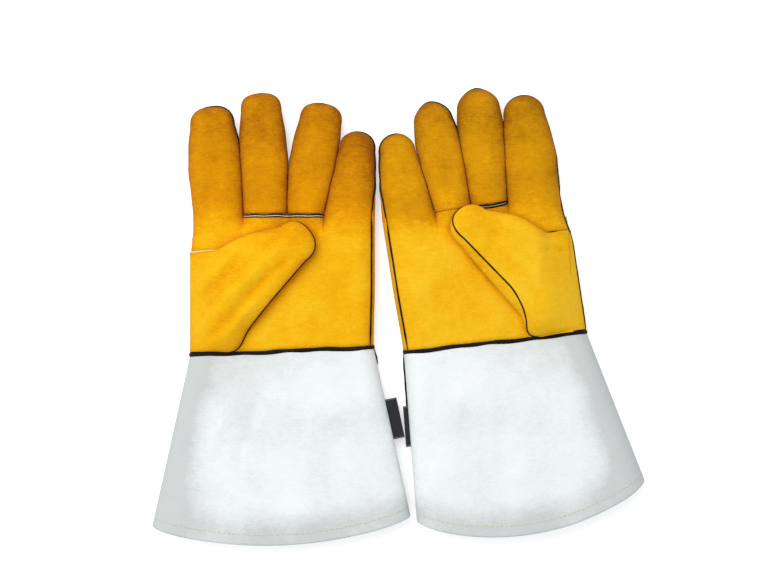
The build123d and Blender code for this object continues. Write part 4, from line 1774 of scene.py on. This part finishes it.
def woven_tape():
    """Black tape with fine ribs across it and two paler edges."""
    made, nodes, links, shader, place = surface("woven_tape")
    ribs = nodes.new("ShaderNodeTexWave")
    ribs.bands_direction = "Y"
    set_inputs(ribs, {"Scale": 620.0, "Distortion": 0.6})
    links.new(place, ribs.inputs["Vector"])
    attribute = nodes.new("ShaderNodeAttribute")
    attribute.attribute_name = "tone"
    stops = [(0.05, (0.12, 0.12, 0.12)), (0.10, (0.012, 0.012, 0.013))]
    border = ramp(nodes, links, attribute.outputs["Fac"], stops)
    links.new(border, shader.inputs["Base Color"])
    links.new(bump(nodes, links, ribs.outputs["Fac"], 0.0003, 0.7), shader.inputs["Normal"])
    shader.inputs["Roughness"].default_value = 0.55
    return made


WELTING, TAPE_BLACK = black_welting(), woven_tape()
CREAM = cotton("cream_thread", (0.64, 0.59, 0.44), (0.88, 0.84, 0.70), 2200.0, 0.3)
RAW = cotton("raw_leather_edge", (0.80, 0.52, 0.10), (0.95, 0.76, 0.36), 900.0, 0.6)
FLEECE_GREY = cotton("fleece", (0.42, 0.42, 0.40), (0.74, 0.74, 0.71), 1200.0, 1.4, 1.0)


print(*(made.name for made in (WELTING, TAPE_BLACK, CREAM, RAW, FLEECE_GREY)))

# %% Dress the pieces


def dress(pieces, finish):
    """Gives every piece one material."""
    for piece in pieces:
        piece.data.materials.clear()
        piece.data.materials.append(finish)


meshes = [piece for piece in bpy.context.scene.objects if piece.type == "MESH"]
for side, hide in GOLD.items():
    leather = [piece for piece in meshes if piece.name.endswith("_leather")]
    dress([piece for piece in leather if piece.name.startswith(side)], hide)
dress(CUFF_PIECES.values(), PALE)
dress(WELTS, WELTING)
dress(RAW_EDGES, RAW)
dress(THREADS_AND_HIGHLIGHT, CREAM)
dress(FLEECE, FLEECE_GREY)
dress(LABELS, TAPE_BLACK)
print(len(meshes), "meshes")

# %% [markdown]
# ## Floor, light and camera
#
# The pair lies on a plain white floor, seen from straight above. The floor must come out white without
# the lamps being turned up, so the camera sees a little light added to its own colour: Light Path tells
# the camera's rays from the others. One broad lamp stands over the upper left, so that a soft shadow
# falls to the lower right, and the world fills the rest.

# %% Floor
FLOOR_HALF = 3.0
corners = [(x * FLOOR_HALF, y * FLOOR_HALF, 0) for x, y in ((-1, -1), (1, -1), (1, 1), (-1, 1))]
floor_mesh = bpy.data.meshes.new("floor")
floor_mesh.from_pydata(corners, [], [(0, 1, 2, 3)])
floor = bpy.data.objects.new("floor", floor_mesh)
bpy.context.scene.collection.objects.link(floor)


def white_floor():
    """Diffuse white, with an emission that only camera, mirror and glass rays see."""
    made, nodes, links = material("white_floor")
    nodes.remove(nodes["Principled BSDF"])
    diffuse = nodes.new("ShaderNodeBsdfDiffuse")
    diffuse.inputs["Color"].default_value = (0.86, 0.87, 0.88, 1)
    glow = nodes.new("ShaderNodeEmission")
    path = nodes.new("ShaderNodeLightPath")
    seen = maths(nodes, links, "MAXIMUM", path.outputs["Is Camera Ray"], path.outputs["Is Glossy Ray"])
    seen = maths(nodes, links, "MAXIMUM", seen, path.outputs["Is Transmission Ray"])
    links.new(maths(nodes, links, "MULTIPLY", seen, 0.5), glow.inputs["Strength"])
    both = nodes.new("ShaderNodeAddShader")
    links.new(diffuse.outputs[0], both.inputs[0])
    links.new(glow.outputs[0], both.inputs[1])
    links.new(both.outputs[0], nodes["Material Output"].inputs["Surface"])
    return made


floor_mesh.materials.append(white_floor())
print("floor", 2 * FLOOR_HALF, "m wide")

# %% Light
LAMP_PLACE = Vector((-0.45, 0.55, 1.3))
LAMP_WATTS = 13.2
LAMP_SIZE = 1.1
WORLD_STRENGTH = 0.62
lamp_data = bpy.data.lights.new("window", "AREA")
lamp_data.energy = LAMP_WATTS
lamp_data.size = LAMP_SIZE
lamp = bpy.data.objects.new("window", lamp_data)
lamp.location = LAMP_PLACE
lamp.rotation_euler = (-LAMP_PLACE).to_track_quat("-Z", "Y").to_euler()
bpy.context.scene.collection.objects.link(lamp)
world = bpy.data.worlds.new("room")
world.use_nodes = True
set_inputs(world.node_tree.nodes["Background"], {"Color": (0.96, 0.98, 1.0, 1), "Strength": WORLD_STRENGTH})
bpy.context.scene.world = world
print("lamp", LAMP_WATTS, "W at", round(LAMP_PLACE.length, 2), "m")

# %% Camera
CAMERA_OVER = (-0.0117, 0.0206)
CAMERA_HEIGHT = 1.212
VIEW_WIDTH = 0.602  # what the picture takes in at the height of the wrist
WRIST_HEIGHT = 0.012
SENSOR = 36.0
camera_data = bpy.data.cameras.new("camera")
camera_data.sensor_width = SENSOR
camera_data.lens = SENSOR * (CAMERA_HEIGHT - WRIST_HEIGHT) / VIEW_WIDTH
camera = bpy.data.objects.new("camera", camera_data)
camera.location = (*CAMERA_OVER, CAMERA_HEIGHT)
bpy.context.scene.collection.objects.link(camera)
bpy.context.scene.camera = camera
bpy.context.scene.view_settings.view_transform = "Standard"
print("lens", round(camera_data.lens, 1))
